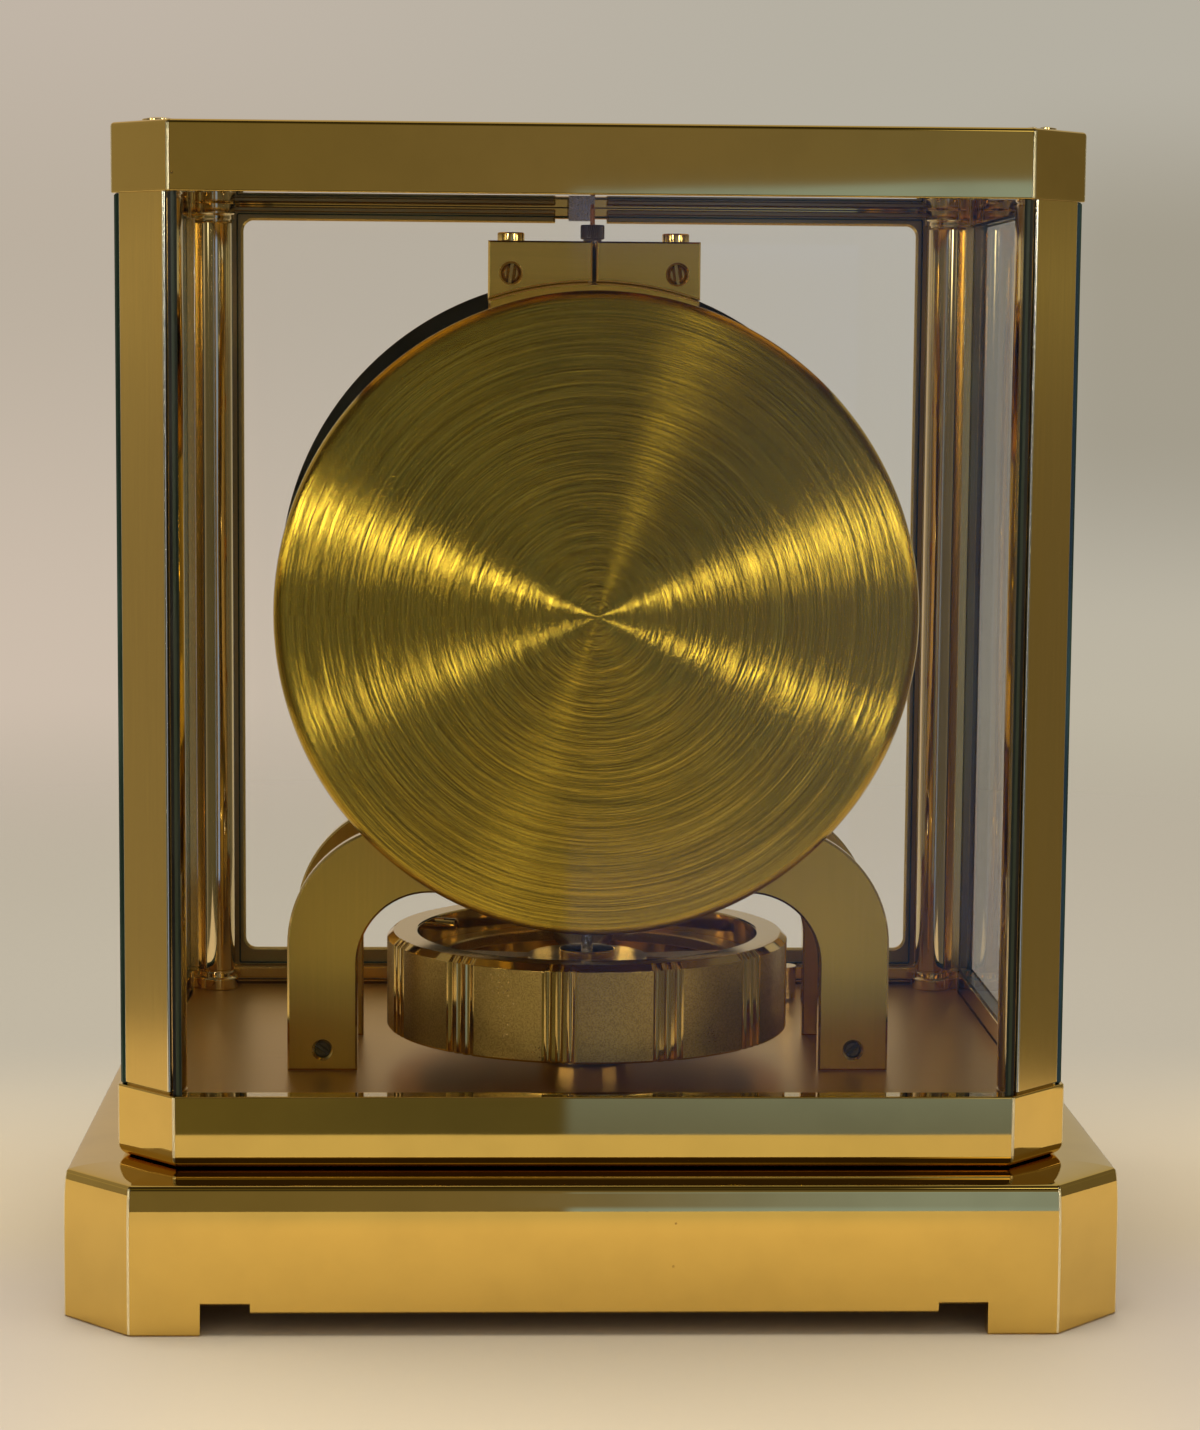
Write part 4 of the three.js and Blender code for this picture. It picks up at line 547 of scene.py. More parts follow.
# %% Panes and their edges
def pane_glass(name):
    """A faint mirror over nothing, a little smeared and waved."""
    look, place = start(name)
    turned_away = place.node("LayerWeight", inputs={"Blend": 0.5}, out=1)
    smear = place.noise(26.0, 3.0, 0.6)
    mirror = turned_away ** 5.0 * 0.90 + (smear * 0.004 + 0.011)
    wave = relief(place, place.noise(9.0, 0.0) * 4e-6)
    return finish(look, principled(place, Base_Color=(0.72, 0.76, 0.73, 1.0), Metallic=1.0,
                                   Roughness=0.015, Alpha=mirror, Normal=wave))


def cut_glass(name):
    """The green of a cut edge, clouded and chipped."""
    look, place = start(name)
    chips = place.noise(1500.0, 2.0)
    deep = place.noise(45.0, 1.0)
    tint = between(deep.ease(0.35, 0.7), (0.010, 0.032, 0.020), (0.03, 0.075, 0.05))
    normal = relief(place, chips * 4e-6)
    return finish(look, principled(place, Base_Color=tint, Metallic=0.0, Roughness=chips * 0.1 + 0.1,
                                   Normal=normal, IOR=1.5))


def banded_glass(name):
    """The ground border of the rear pane, by the distance from the middle in x: near black at the
    outer edge, a painted shadow of the gap beside the post, then a pale line that is a painted
    highlight, then dark green."""
    look, place = start(name)
    out = place.parts()[0].sum("ABSOLUTE")
    chips = place.noise(700.0, 2.0, stretch=(1, 1, 0.05))
    # The pale line is a painted highlight, and the near black outer band is a painted shadow.
    tint = between(out.ease(0.08125, 0.0814), (0.010, 0.018, 0.010), (0.040, 0.052, 0.026))
    tint = between(out.ease(0.0819, 0.08205), tint, (0.008, 0.006, 0.005))
    tint = between(chips.ease(0.35, 0.8) * 0.5, tint, (0.05, 0.05, 0.035))
    return finish(look, principled(place, Base_Color=tint, Roughness=chips * 0.1 + 0.25, IOR=1.3,
                                   Normal=relief(place, chips * 2e-6)))


GLASS = pane_glass("clear plate glass")
GLASS_EDGE = cut_glass("cut edge of the glass")
REAR_GLASS_BORDER_PAINTED = banded_glass("rear glass border with painted shade and highlight")

# %% [markdown]
# ## Plinth, rim and cap
#
# These three are the same form: a rectangle with its corners cut off, and a profile carried round
# it. Moving inwards by t makes the half widths smaller by t and the corner line by t times the
# square root of 2, so every point of the outline moves along a straight line. One array holds the
# outline and one holds that movement, and a ring is outline plus t times movement, at height z.

# %% A path with cut corners
class CutCorners:
    """Outline |x| <= half_x, |y| <= half_y, |x| + |y| <= total, with rounded corners and extra
    points on its long sides, so that notches can start and end there."""

    def __init__(self, half_x, half_y, total, radius, along_x=(), along_y=()):
        rest = (radius, along_x, along_y)
        self.flat = self.at(half_x, half_y, total, *rest)
        self.move = self.at(half_x - 1, half_y - 1, total - math.sqrt(2), *rest) - self.flat

    def at(self, hx, hy, total, radius, along_x, along_y):
        """The outline for one size: eight rounded corners, with the extra points between them."""
        cx, cy = total - hy, total - hx
        corners = [(-cx, -hy), (cx, -hy), (hx, -cy), (hx, cy),
                   (cx, hy), (-cx, hy), (-hx, cy), (-hx, -cy)]
        arcs = rounded(corners, radius).reshape(8, -1, 2)
        ax, ay = np.sort(np.asarray(along_x, float)), np.sort(np.asarray(along_y, float))
        runs = {0: (ax, -hy + 0 * ax), 2: (hx + 0 * ay, ay),
                4: (ax[::-1], hy + 0 * ax), 6: (-hx + 0 * ay, ay[::-1])}
        rows = []
        for k in range(8):
            rows.append(arcs[k])
            if k in runs:
                rows.append(np.stack(runs[k], 1))
        return np.concatenate(rows)

    def ring(self, t, z):
        """The outline moved inwards by t, at height z. Either may differ from point to point."""
        t, z = np.broadcast_to(t, len(self.flat)), np.broadcast_to(z, len(self.flat))
        xy = self.flat + t[:, None] * self.move
        return np.stack([xy[:, 0], xy[:, 1], z], 1)

    def near(self, x=None, y=None, side=0):
        """True for the points of a long side that lie within x or y of its middle."""
        along, out = self.flat.T if x is not None else self.flat.T[::-1]
        outermost = np.abs(out) > np.abs(out).max() - 1e-6
        return (np.abs(along) < (y if x is None else x)) & outermost & (np.sign(out) != -side)


# %% [markdown]
# The upright corners get a paler gold, a painted highlight for the bright line that a lamp draws
# along each rounded corner. A face belongs to such a corner when its direction lies between the
# directions of the two flat faces beside it.

# %% Upright corners
def corner_marks(points, faces):
    """1 for faces whose direction in plan is more than 3 degrees off every multiple of 45."""
    a, b, c = (points[[f[k] for f in faces]] for k in (0, 1, 2))
    x, y, z = np.cross(b - a, c - a).T
    off = (np.degrees(np.arctan2(y, x)) + 22.5) % 45 - 22.5
    return ((np.abs(off) > 3) & (np.abs(z) < 0.5 * np.hypot(x, y))).astype(int).tolist()


def with_highlit_corners(skin):
    """The skin with its upright corners marked for the second look, the paler gold of painted highlight."""
    return (*skin, corner_marks(*skin))


# %% [markdown]
# The plinth stands on four corner feet. Beside each foot a taller notch lets a finger under, and
# an apron runs between the notches. All three are one step function: how high the wall starts.
# Its upper edge is tight, but years of buffing have rolled off the faces on both sides of it. So
# the profile is given by its tilt along its length, from upright to level.

# %% Plinth
DECK = 30.4


def jumps(*places):
    """Two points very close together at each place, on both sides of the middle, so that a
    height can change between them."""
    return [side * spot for side in (-1, 1) for place in places for spot in (place, place - 0.06)]


path = CutCorners(104.5, 82.5, 173.0, 0.7, jumps(76.7, 67.0), jumps(54.7, 45.0))
notch = path.near(x=76.68) | path.near(y=54.68)
apron = path.near(x=66.98) | path.near(y=44.98)
foot = np.where(apron, 4.5, np.where(notch, 6.2, 0.0))


def rolled(stops, lengths, top):
    """Points (inward, height) of a profile. Inward grows by the sine of the tilt and height by
    its cosine, step by step, and the last point lies at the top."""
    middle = 0.5 * (lengths[1:] + lengths[:-1])
    tilt = np.radians(np.interp(middle, *np.transpose(stops)))
    step = np.diff(lengths)
    inward = np.concatenate([[0], np.cumsum(np.sin(tilt) * step)])
    height = np.concatenate([[0], np.cumsum(np.cos(tilt) * step)])
    return np.stack([inward, height + top - height[-1]], 1)


WEAR = [(0, 0), (12, 0.4), (15.5, 1.4), (17.5, 2.8), (19.5, 4.8), (20.8, 8), (21.5, 13),
        (22.5, 75), (24, 83), (27.5, 87), (31, 89.5), (33.5, 90)]
along = np.concatenate([[0, 6], np.arange(12, 21.5, 0.5), np.linspace(21.5, 22.5, 12),
                        np.arange(22.8, 33.6, 0.7)])
rings = [path.ring(14, DECK)] + [path.ring(t, z) for t, z in rolled(WEAR, along, DECK)[::-1]]
rings += [path.ring(0, foot + 0.35), path.ring(0.35, foot), path.ring(3.8, foot),
          path.ring(4, foot + 0.2), path.ring(4, 25.2), path.ring(14, 25.4)]
piece("plinth_shell", [with_highlit_corners(sleeve(rings, close=False))], [MIRROR, HIGHLIT_CORNER_GILDING], "case", ["plinth"])

# %% [markdown]
# The rim is a ring: outside it is polished, with a rounded lower edge that makes the dark line
# above the plinth. Inside it is a ledge for the floor plate. On the dial side its lip is
# narrower, because the door stands in a groove there.

# %% Rim
BODY = (94.5, 72.5, 155.0)
GROOVE_END = 82.15
RIM_TOP, LEDGE = 45, 36.4
path = CutCorners(*BODY, 0.8, jumps(GROOVE_END))
groove = path.near(x=GROOVE_END - 0.03, side=1)
lip = np.where(groove, 2.4, 4.2)
outside = rounded([(12.2, DECK), (0, DECK), (0, RIM_TOP), (2, RIM_TOP)], [0, 2.75, 0.35, 0], 10)
rings = [path.ring(t, z) for t, z in outside]
rings += [path.ring(lip - 0.12, RIM_TOP), path.ring(lip, 44.88), path.ring(lip, 41.06),
          path.ring(4.2, 41), path.ring(4.2, LEDGE), path.ring(12.2, LEDGE)]
piece("case_rim_ring", [with_highlit_corners(sleeve(rings))], [MIRROR, HIGHLIT_CORNER_GILDING], "case", ["case_rim"])

# %% [markdown]
# The cap is solid, with a recess under it. The door's groove is deeper there, so that the door can
# be lifted, and a shallow relief leaves room for a finger.

# %% Cap
CAP_LOW, CAP_TOP, CEILING, GROOVE_TOP = 219.9, 233.4, 223.5, 227.3
path = CutCorners(*BODY, 1.0, jumps(GROOVE_END, 6.03))
groove = path.near(x=GROOVE_END - 0.03, side=1)
finger = path.near(x=6.0, side=1)
lip = np.where(groove, 2.4, 4.6)
low = np.where(finger, 1.0, 0.0)
outside = rounded([(2.2, CAP_LOW), (0, CAP_LOW), (0, CAP_TOP), (6, CAP_TOP)], [0, 0.35, 0.85, 0], 8)
lift = np.where(outside[:, 1] < 222, 1.0, 0.0)
rings = [path.ring(t, z + low * k) for (t, z), k in zip(outside, lift)][::-1]
rings += [path.ring(lip - 0.1, CAP_LOW + low), path.ring(lip, 220.0 + low),
          path.ring(lip, np.where(groove, GROOVE_TOP, 223.3)),
          path.ring(6.0, np.where(groove, GROOVE_TOP, 223.4)), path.ring(6.06, CEILING)]
piece("top_cap_slab", [with_highlit_corners(sleeve(rings, close=False))], [MIRROR_CAP, HIGHLIT_CORNER_GILDING], "case", ["top_cap"])

# %% [markdown]
# Four slotted screws hold the cap. A slotted head is two half-moon lobes on a round base, so that
# the slot has a flat bottom and clean sides.

# %% Slotted heads
def half_moon(x, y, radius, slot, turn):
    """Two outlines: the parts of a disc on either side of a slot."""
    angle = math.degrees(math.asin(slot / radius))
    lobes = [arc(0, 0, radius, half + angle, half + 180 - angle, 18) for half in (0, 180)]
    return [spun(lobe, turn) + (x, y) for lobe in lobes]


def base_disc(x, y, radius, low, high, axis):
    """The round base that both lobes of a head stand on."""
    return plate([arc(x, y, radius, 0, 360 * 35 / 36, 36)], low, high, axis, 0.0)


def slotted(x, y, radius, base, top, axis, slot, turn, chamfer):
    """A head whose slot goes down to half its height."""
    floor = base + (top - base) * 0.45
    skins = [base_disc(x, y, radius, *sorted((base, floor)), axis)]
    near, far = (0.0, chamfer) if top > base else (chamfer, 0.0)
    for lobe in half_moon(x, y, radius, slot, turn):
        skins.append(plate([lobe], *sorted((floor, top)), axis, (near, far)))
    return skins


def domed(x, y, radius, base, top, slot, turn):
    """A low domed head: a thin disc, and on it two lobes. Each lobe is a stack of copies of its
    outline that shrink to its middle and lie on the dome, whose height falls with the square of
    the distance from the centre."""
    floor = base + (top - base) * 0.35
    skins = [base_disc(x, y, radius, base, floor, "z")]
    for lobe in half_moon(x, y, radius, slot, turn):
        middle = lobe.mean(0)
        rings = [np.column_stack([lobe, np.full(len(lobe), floor)])]
        for k in (0, 0.12, 0.3, 0.5, 0.7, 0.9):
            ring = lobe + (middle - lobe) * k
            away = np.hypot(*(ring - (x, y)).T) / radius
            rings.append(np.column_stack([ring, top - (top - floor) * 0.85 * away ** 2]))
        skins.append(sleeve(rings, close=False))
    return skins


CORNERS = (("rear_left", -1, -1), ("rear_right", 1, -1), ("front_left", -1, 1), ("front_right", 1, 1))
for (name, x, y), twist in zip(CORNERS, (8, 75, 130, 50)):
    piece(f"top_screw_head_{name}", domed(84.9 * x, 62.9 * y, 3.2, CAP_TOP, 234.29, 0.35, twist),
          [EDGE], "case", [f"top_screw_{name}"])

# %% [markdown]
# ## Corner posts
#
# Each corner has a flat strip, drawn lengthwise to a satin, and close inside it a polished round
# column with a collar at each end. The strip is a four-sided prism with narrow rounded edges,
# whose pale gold is a painted highlight.

# %% Posts
strip = rounded([(93.3, 60.9), (82.9, 71.3), (82.9, 67.06), (89.06, 60.9)], [0.3, 0.5, 0.3, 0.3], 5)
collar, shaft, neck = 4.5, 3.7, 3.4
low_end = [(0, 40.4), (collar, 40.4), (collar, 43.2), (shaft, 43.2),
           (shaft, 44.4), (neck, 44.4), (neck, 45.0), (shaft, 45.0)]
high_end = [(shaft, 219.0), (neck, 219.0), (neck, 219.7), (shaft, 219.7),
            (shaft, 220.7), (collar, 220.7), (collar, CEILING), (0, CEILING)]
radii = [0, 0.3, 0.5, 0.2, 0.15, 0.1, 0.1, 0.15]
column = rounded(low_end + high_end, radii + radii[::-1], 3)
quarter = [plate([strip], 45.45, CAP_LOW, "z", (0.15, 0.0)),
           plate([inset(strip, 0.5)], RIM_TOP, 45.45, "z", 0.0),
           turned(column, (84.28, 62.28), "z", 48)]
for name, x, y in CORNERS:
    skins = mirrored(quarter, (x, y, 1))
    turned_round = [facing_out(*skin[:2]) for skin in skins]
    # The strip's rounded upright edges take the pale gold of painted highlight.
    edges = [2 * k for k in corner_marks(skins[0][0], turned_round[0])]
    skins = [(skins[0][0], turned_round[0], edges), skins[1][:2], (*skins[2], [1] * len(skins[2][1]))]
    piece(f"corner_post_{name}", skins, [POST, COLUMN, POST_EDGE_HIGHLIGHT], "case", [f"post_{name}"])

# %% [markdown]
# ## Panes and door
#
# Each pane is a thin slab with its edges ground off at an angle, with clear faces and green edges.
# The rear pane has a broad ground border, with a painted shadow at its outer edge and a painted
# highlight line. The door frame has a thin bar, which laps the glass, a thick bar round it and a
# rounded rail at the foot. The bars are cut through at the top, where a finger reaches in.

# %% Panes
PANE_LOW, PANE_HIGH = 45.05, 219.85
HALF_PANE, BORDER = 82.6, 1.8
corners = box(-HALF_PANE, HALF_PANE, PANE_LOW, PANE_HIGH, 0)
rings = [lay(corners[:, 0] * k, corners[:, 1], h, "y")
         for k, h in ((1 - BORDER / HALF_PANE, -71.9), (1, -71.2), (1, -68.9))]
points, faces = sleeve(rings, close=False)
upright = [len({points[v][0] > 0 for v in face}) == 1 for face in faces]
piece("rear_pane", [(points, faces, [int(k) for k in upright])], [GLASS, REAR_GLASS_BORDER_PAINTED], "case",
      ["rear_glass"])
for side, x in (("left", (-93.9, -90.9)), ("right", (90.9, 93.9))):
    skin = plate([box(-60.6, 60.6, PANE_LOW, PANE_HIGH, 0.3, 2)], *x, "x", 0.35)
    piece(f"{side}_pane", [skin], [GLASS, GLASS_EDGE], "case", [f"{side}_glass"])

# %% Door
def door_bar(x, low, high, radius):
    """Frame between the door's outline and an opening of half width x, cut through at the top."""
    corners = [(-6, 223), (-82, 223), (-82, 41.3), (82, 41.3), (82, 223), (6, 223),
               (6, high), (x, high), (x, low), (-x, low), (-x, high), (-6, high)]
    return rounded(corners, [0.3] * 7 + [radius] * 4 + [0.3], 6)


# The thin and thick bars take the darkened gold of painted shade, the rail at the foot the lit gold.
thin = plate([door_bar(78.4, 48.8, 219.9, 2.5)], 68.2, 69.8, "y", (0.5, 0.3))
thick = plate([door_bar(80.9, 44.9, 221.8, 0.6)], 66.9, 68.3, "y", (0.3, 0.0))
bar = plate([box(66.8, 68.3, 41.4, 44.8, [0.7, 0.1, 0.1, 0.7], 6)], -81.8, 81.8, "x", 0.3)
piece("door_frame_bar", [thin, thick, (bar[0], bar[1], [1] * len(bar[1]))], [SHADED_RAIL, RAIL_EDGE], "door",
      ["door_frame"])
piece("door_pane", [plate([box(-79.9, 79.9, 45.2, 221.5, 0.6)], 67.0, 68.0, "y", 0.3)],
      [GLASS, GLASS_EDGE], "door", ["door_glass"])

# %% [markdown]
# ## Stand
#
# Two arch-shaped plates carry everything. Their fronts are brushed upright, and a narrow polished
# chamfer runs round them and round each screw hole, which makes the bright line on the legs.

# %% Plates
FLOOR_TOP, BRACKET_TOP, NECK = 40.4, 212.6, 21.55
REAR_PLATE, FRONT_PLATE, RECESS = (-28, -24), (7.5, 11.5), (-25.2, -27.4)
LEG_SCREW, BRACKET_SCREW = (55.6, 44.8), (17, 206)


def stand_outline(crown):
    """Half of the plate from the foot of the right leg up over the shoulder to the neck, then its
    mirror image, then the arch back between the legs. The crown is the right half of its top."""
    shoulder = arc(37.6, 67.0, 25.3, 0, 80, 22)
    right_side = np.concatenate([[(62.9, FLOOR_TOP)], shoulder, [(42, 178), (NECK, 198.5)], crown])
    left_side = right_side[::-1][1:] * (-1, 1)
    arch = np.concatenate([[(-48.3, FLOOR_TOP)], arc(-33.3, 63, 15, 180, 90, 16),
                           arc(33.3, 63, 15, 90, 0, 16), [(48.3, FLOOR_TOP)]])
    return np.concatenate([right_side, left_side, arch])


def hole(x, z, radius):
    """A circle drawn clockwise, as plate() expects of a hole."""
    return arc(x, z, radius, 360, 360 / 32, 32)


leg_holes = [hole(x * LEG_SCREW[0], LEG_SCREW[1], 1.8) for x in (-1, 1)]
crown = arc(0, DRUM_Z, 65.6, math.degrees(math.acos(NECK / 65.6)), 90, 14)
rear = [plate([stand_outline(crown), *leg_holes], *REAR_PLATE, "y", 0.45),
        turned(box(51.2, 61.2, -32.8, -28.0, 0.3, 2), (0, DRUM_Z), "y", 96),
        plate([box(-16.45, -13.35, 140, 144, 0)], -24.2, -14.5, "y", 0.2),
        turned([(0, -16.4), (1, -16.4), (1, -10.8), (0, -10.8)], (-16.5, 142), "x", 16)]
piece("rear_stand_plate", rear, [LEG, EDGE], "case", ["rear_plate"])

front_holes = [hole(x * BRACKET_SCREW[0], BRACKET_SCREW[1], 1.7) for x in (-1, 1)]
crown = [(NECK, BRACKET_TOP), (0, BRACKET_TOP)]
piece("front_stand_plate", [plate([stand_outline(crown), *front_holes], *FRONT_PLATE, "y", 0.4)],
      [LEG, EDGE], "case", ["front_plate"])

# %% [markdown]
# The bracket sits on the drum like a saddle. Two cheeks leave a narrow slot between them, which
# widens where the wire runs down.

# %% Bracket
HALF_BRACKET, SADDLE = 21.7, 65.9


def saddle(left, right, steps):
    """Outline from x = left to x = right: round below, over the drum, and flat on top."""
    ends = [math.degrees(math.acos(x / SADDLE)) for x in (left, right)]
    top = [(right, BRACKET_TOP), (left, BRACKET_TOP)]
    return np.concatenate([arc(0, DRUM_Z, SADDLE, *ends, steps), top])


bore = hole(-BRACKET_SCREW[0], BRACKET_SCREW[1], 2.1)
cheeks = [plate([saddle(-HALF_BRACKET, -0.42, 14), bore], REAR_PLATE[0], -15.2, "y", (0.35, 0.0)),
          plate([saddle(-HALF_BRACKET, -1.1, 14)], -15.3, -12.8, "y", 0.0)]
other = mirrored(cheeks, (-1, 1, 1))
whole = saddle(-HALF_BRACKET, HALF_BRACKET, 24)
piece("suspension_block", cheeks + other + [plate([whole], -12.9, FRONT_PLATE[0], "y", (0.0, 0.35))],
      [BLOCK, EDGE], "case", ["suspension_bracket"])

# %% [markdown]
# The leg screws and bracket screws sit in bored recesses a little below the face, and their heads
# are darkened as painted shade of the recess. On top of the bracket two polished cheese heads
# hold it down, and between them a knurled nut with a thin pin holds the wire that the balance
# hangs from.

# %% Screws, heads and nut
for side, x in (("left", -1), ("right", 1)):
    for kind, (across, height), radius, cut, look in (
            ("leg", LEG_SCREW, 1.7, (0.3, 35 * x, 0.35), SHADED_STEEL_SCREW),
            ("bracket", BRACKET_SCREW, 2.0, (0.35, 90 + 8 * x, 0.6), SHADED_GILT_SCREW)):
        piece(f"{kind}_screw_head_{side}", slotted(across * x, height, radius, *RECESS, "y", *cut),
              [look], "case", [f"{kind}_screw_{side}"])
    head = rounded([(0, BRACKET_TOP), (2.8, BRACKET_TOP), (2.8, 214.5), (1.3, 214.5),
                    (1.3, 213.7), (0, 213.7)], [0, 0.1, 0.35, 0.15, 0.1, 0], 3)
    piece(f"bracket_cheese_head_{side}", [turned(head, (17 * x, -20), "z", 48)],
          [EDGE], "case", [f"bracket_head_{side}"])

BALANCE = (0.0, -14.0)
KNURLS = 36
u = np.arange(KNURLS * 4) * 2 * np.pi / (KNURLS * 4)
wave = 0.09 * np.cos(u * KNURLS)
r, h = np.hsplit(rounded([(1.9, BRACKET_TOP), (1.9, 213.4), (2.4, 213.4), (2.4, 216.4), (1.2, 216.4)],
                         [0, 0, 0.25, 0.3, 0], 3), 2)
r = r + np.where((h > 213.6) & (r > 2.2), wave, 0.0)
rings = lay(BALANCE[0] + r * np.cos(u), BALANCE[1] + r * np.sin(u), h, "z")
piece("suspension_nut_knurled", [sleeve(rings, close=False)], [DARK], "case",
      ["suspension_nut"])
pin = rounded([(0, 216.0), (0.5, 216.0), (0.5, 219.8), (0.3, 220.6), (0, 220.6)], [0, 0, 0.3, 0.1, 0], 3)
COPPER = steel("copper-coloured pin", (0.62, 0.33, 0.17), 0.25)
piece("suspension_pin", [turned(pin, BALANCE, "z", 24)], [COPPER], "case",
      ["suspension_nut"])

# %% [markdown]
# ## Bellows drum
#
# A spun can: flat face, rounded edge, thin wall, open at the back where the mount holds it.

# %% Drum
FACE_Y = -63
can = rounded([(0, FACE_Y), (63.5, FACE_Y), (63.5, -28.3), (61.5, -28.3), (61.5, -61), (0, -61)],
              [0, 2.4, 0.4, 0.4, 1.5, 0], 10)
can = np.concatenate([can[:1], [(r, FACE_Y) for r in (8, 20, 34, 48, 58)], can[1:]])
piece("bellows_drum_can", [turned(can, (0, DRUM_Z), "y", 256)], [DRUM], "case",
      ["bellows_drum"])

# %% [markdown]
# ## Balance ring
#
# The rim carries twelve groups of three polished flutes, and the bands between them are frosted.
# Its radius is a function of the angle: full between the flutes, and less by a shallow cosine dip
# inside each flute.

# %% Balance ring
RING_RADIUS, GROUPS = 42.5, 12
GROUP = 2 * np.pi / GROUPS
FLUTE_PITCH, HALF_FLUTE = 2.3 / RING_RADIUS, 0.8 / RING_RADIUS
middles = np.radians(-99.2 + 360 / GROUPS * np.arange(GROUPS))
flutes = (middles[:, None] + np.array([-1, 0, 1]) * FLUTE_PITCH).reshape(-1)
across = np.linspace(-1, 1, 7)
columns = (flutes[:, None] + across * HALF_FLUTE).reshape(-1)
dips = np.tile(0.5 * np.cos(across * np.pi / 2), len(flutes))
clear = FLUTE_PITCH + HALF_FLUTE * 1.6
bands = (middles[:, None] + np.linspace(clear, GROUP - clear, 7)).reshape(-1)
angles = np.concatenate([columns, bands])
order = np.argsort(angles)
angles, dips = angles[order], np.concatenate([dips, np.zeros(len(bands))])[order]
wall = rounded([(36.0, 47.9), (RING_RADIUS, 47.9), (RING_RADIUS, 66.7), (41.2, 68.0), (36.0, 68.0)],
               [0.3, 0.5, 0.15, 0.2, 0.4], 3)
r, h = np.hsplit(wall, 2)
r = r - np.clip((r - 40.5) / 1.2, 0, 1) * dips
points, faces = sleeve(lay(BALANCE[0] + r * np.cos(angles), BALANCE[1] + r * np.sin(angles), h, "z"))

# %% [markdown]
# A face of the ring is frosted when it lies on the outer wall and in a band between two groups.

# %% Frosted bands, web and hub
row, column = np.divmod(np.arange(len(faces)), len(angles))
gaps = np.diff(angles, append=angles[0] + 2 * np.pi)
off = np.abs((angles + 0.5 * gaps - middles[0] + GROUP / 2) % GROUP - GROUP / 2)[column]
face_r, face_z = (0.5 * (wall + np.roll(wall, -1, 0)))[row].T
banded = (off > FLUTE_PITCH + HALF_FLUTE * 1.3) & (face_r > 42.3)
frosted = banded & (face_z > 48.6) & (face_z < 66.4)
windows = [np.concatenate([arc(*BALANCE, 13, middle - 33, middle + 33, 12),
                           arc(*BALANCE, 31, middle + 33, middle - 33, 26)])
           for middle in (45, 135, 225, 315)]
web = plate([arc(*BALANCE, 36.1, 0, 360 * 95 / 96, 96), *windows], 60.0, 62.5, "z", 0.3)
hub = rounded([(0, 48), (6, 48), (6, 64), (1.3, 64), (0, 64)], [0, 0.4, 0.4, 0.2, 0], 3)
RING = mirror_gilt("polished balance", (0.66, 0.45, 0.125), 0.09)
WEB = brushed_gilt("turned web", (1, 1, 1), (0.56, 0.38, 0.12), 0.28, 0.6)
skins = [(points, faces, frosted.astype(int).tolist()), (*web[:2], [2] * len(web[1])),
         turned(hub, BALANCE, "z", 48)]
piece("balance_wheel", skins, [RING, FROST, WEB], "balance", ["balance_ring"])

# %% [markdown]
# A small slotted screw stands out of the ring's inner wall. Turning it trims the rate of the clock.

# %% Timing screw
around = math.radians(154.0)
outward = np.array([math.cos(around), math.sin(around), 0])
frame_of_screw = np.stack([(-outward[1], outward[0], 0), -outward, (0, 0, 1)])
skins = [(points @ frame_of_screw + (*BALANCE, 66.4), faces)
         for points, faces, *_ in slotted(0, 0, 1.35, -36.2, -30.9, "y", 0.28, 62, 0.25)]
piece("balance_timing_screw", skins, [EDGE], "balance", ["balance_ring"])

# %% [markdown]
# ## Dial
#
# The dial is a ring seen from behind here. Its back is painted near black, a painted shade, so it
# shows as a thin dark crescent behind the drum. Its other side is gilt with raised batons.

# %% Dial ring
dial = turned(box(50, 68, 35, 37, [0.2, 0.3, 0.5, 0.3], 3), (0, DRUM_Z), "y", 160)
centre_y = np.array([np.mean(dial[0][f, 1]) for f in dial[1]])
# Faces on the back of the ring take the near black of painted shade.
skins = [(*dial, np.where(centre_y < 35.2, 1, 0).tolist())]
for hour in range(12):
    half = 1.3 if hour % 3 else 1.7
    baton = spun(box(-half, half, 53.5, 64.5, 0.3, 2), -30 * hour) + (0, DRUM_Z)
    skins.append(plate([baton], 36.9, 37.8, "y", (0.0, 0.25))[:2])
pillar = [(0, 11.4), (2.2, 11.4), (2.2, 35.2), (0, 35.2)]
for x, z in ((-1, -1), (-1, 1), (1, -1), (1, 1)):
    skins.append(turned(pillar, (37.12 * x, DRUM_Z + 37.12 * z), "y", 28))
DIAL = turned_gilt("dial turned on a lathe", (0.84, 0.60, 0.22), 0.3)
piece("dial_ring_face", skins, [DIAL, SHADED_DIAL_BACK], "case", ["dial_ring"])

# %% [markdown]
# ## Pieces that keep their CAD shape
#
# The wheels, arbors, levers and the floor plate are right as they are. They only need a finish.

# %% Finishes for the CAD nodes
WHEEL = mirror_gilt("gilt wheels", (0.82, 0.56, 0.19), 0.16)
KEPT = {
    FLOOR: ["floor_plate"],
    STEEL: ["door_catch", "balance_staff", "bellows_capsule", "bellows_spring", "winding_chain",
            "ratchet_wheel", "click", "mainspring", "anchor", "levelling_foot_left",
            "levelling_foot_right"],
    LEG: ["foot_bar_left", "foot_bar_right", "bellows_plate", "bridge"],
    WHEEL: ["guide_pulley", "barrel", "centre_wheel", "third_wheel", "escape_wheel", "minute_wheel",
            "hour_wheel", "lock_lever", "lock_plate", "spirit_level", "levelling_wheel_left",
            "levelling_wheel_right"],
    DARK: ["hour_hand", "minute_hand"],
    TUBE: ["suspension_tube"],
}
for look, names in KEPT.items():
    for name in names:
        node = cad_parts[name]
        if not node.material_slots:
            node.data.materials.append(look)
        for slot in node.material_slots:
            slot.material = look
print("finished CAD nodes:", sum(len(names) for names in KEPT.values()))

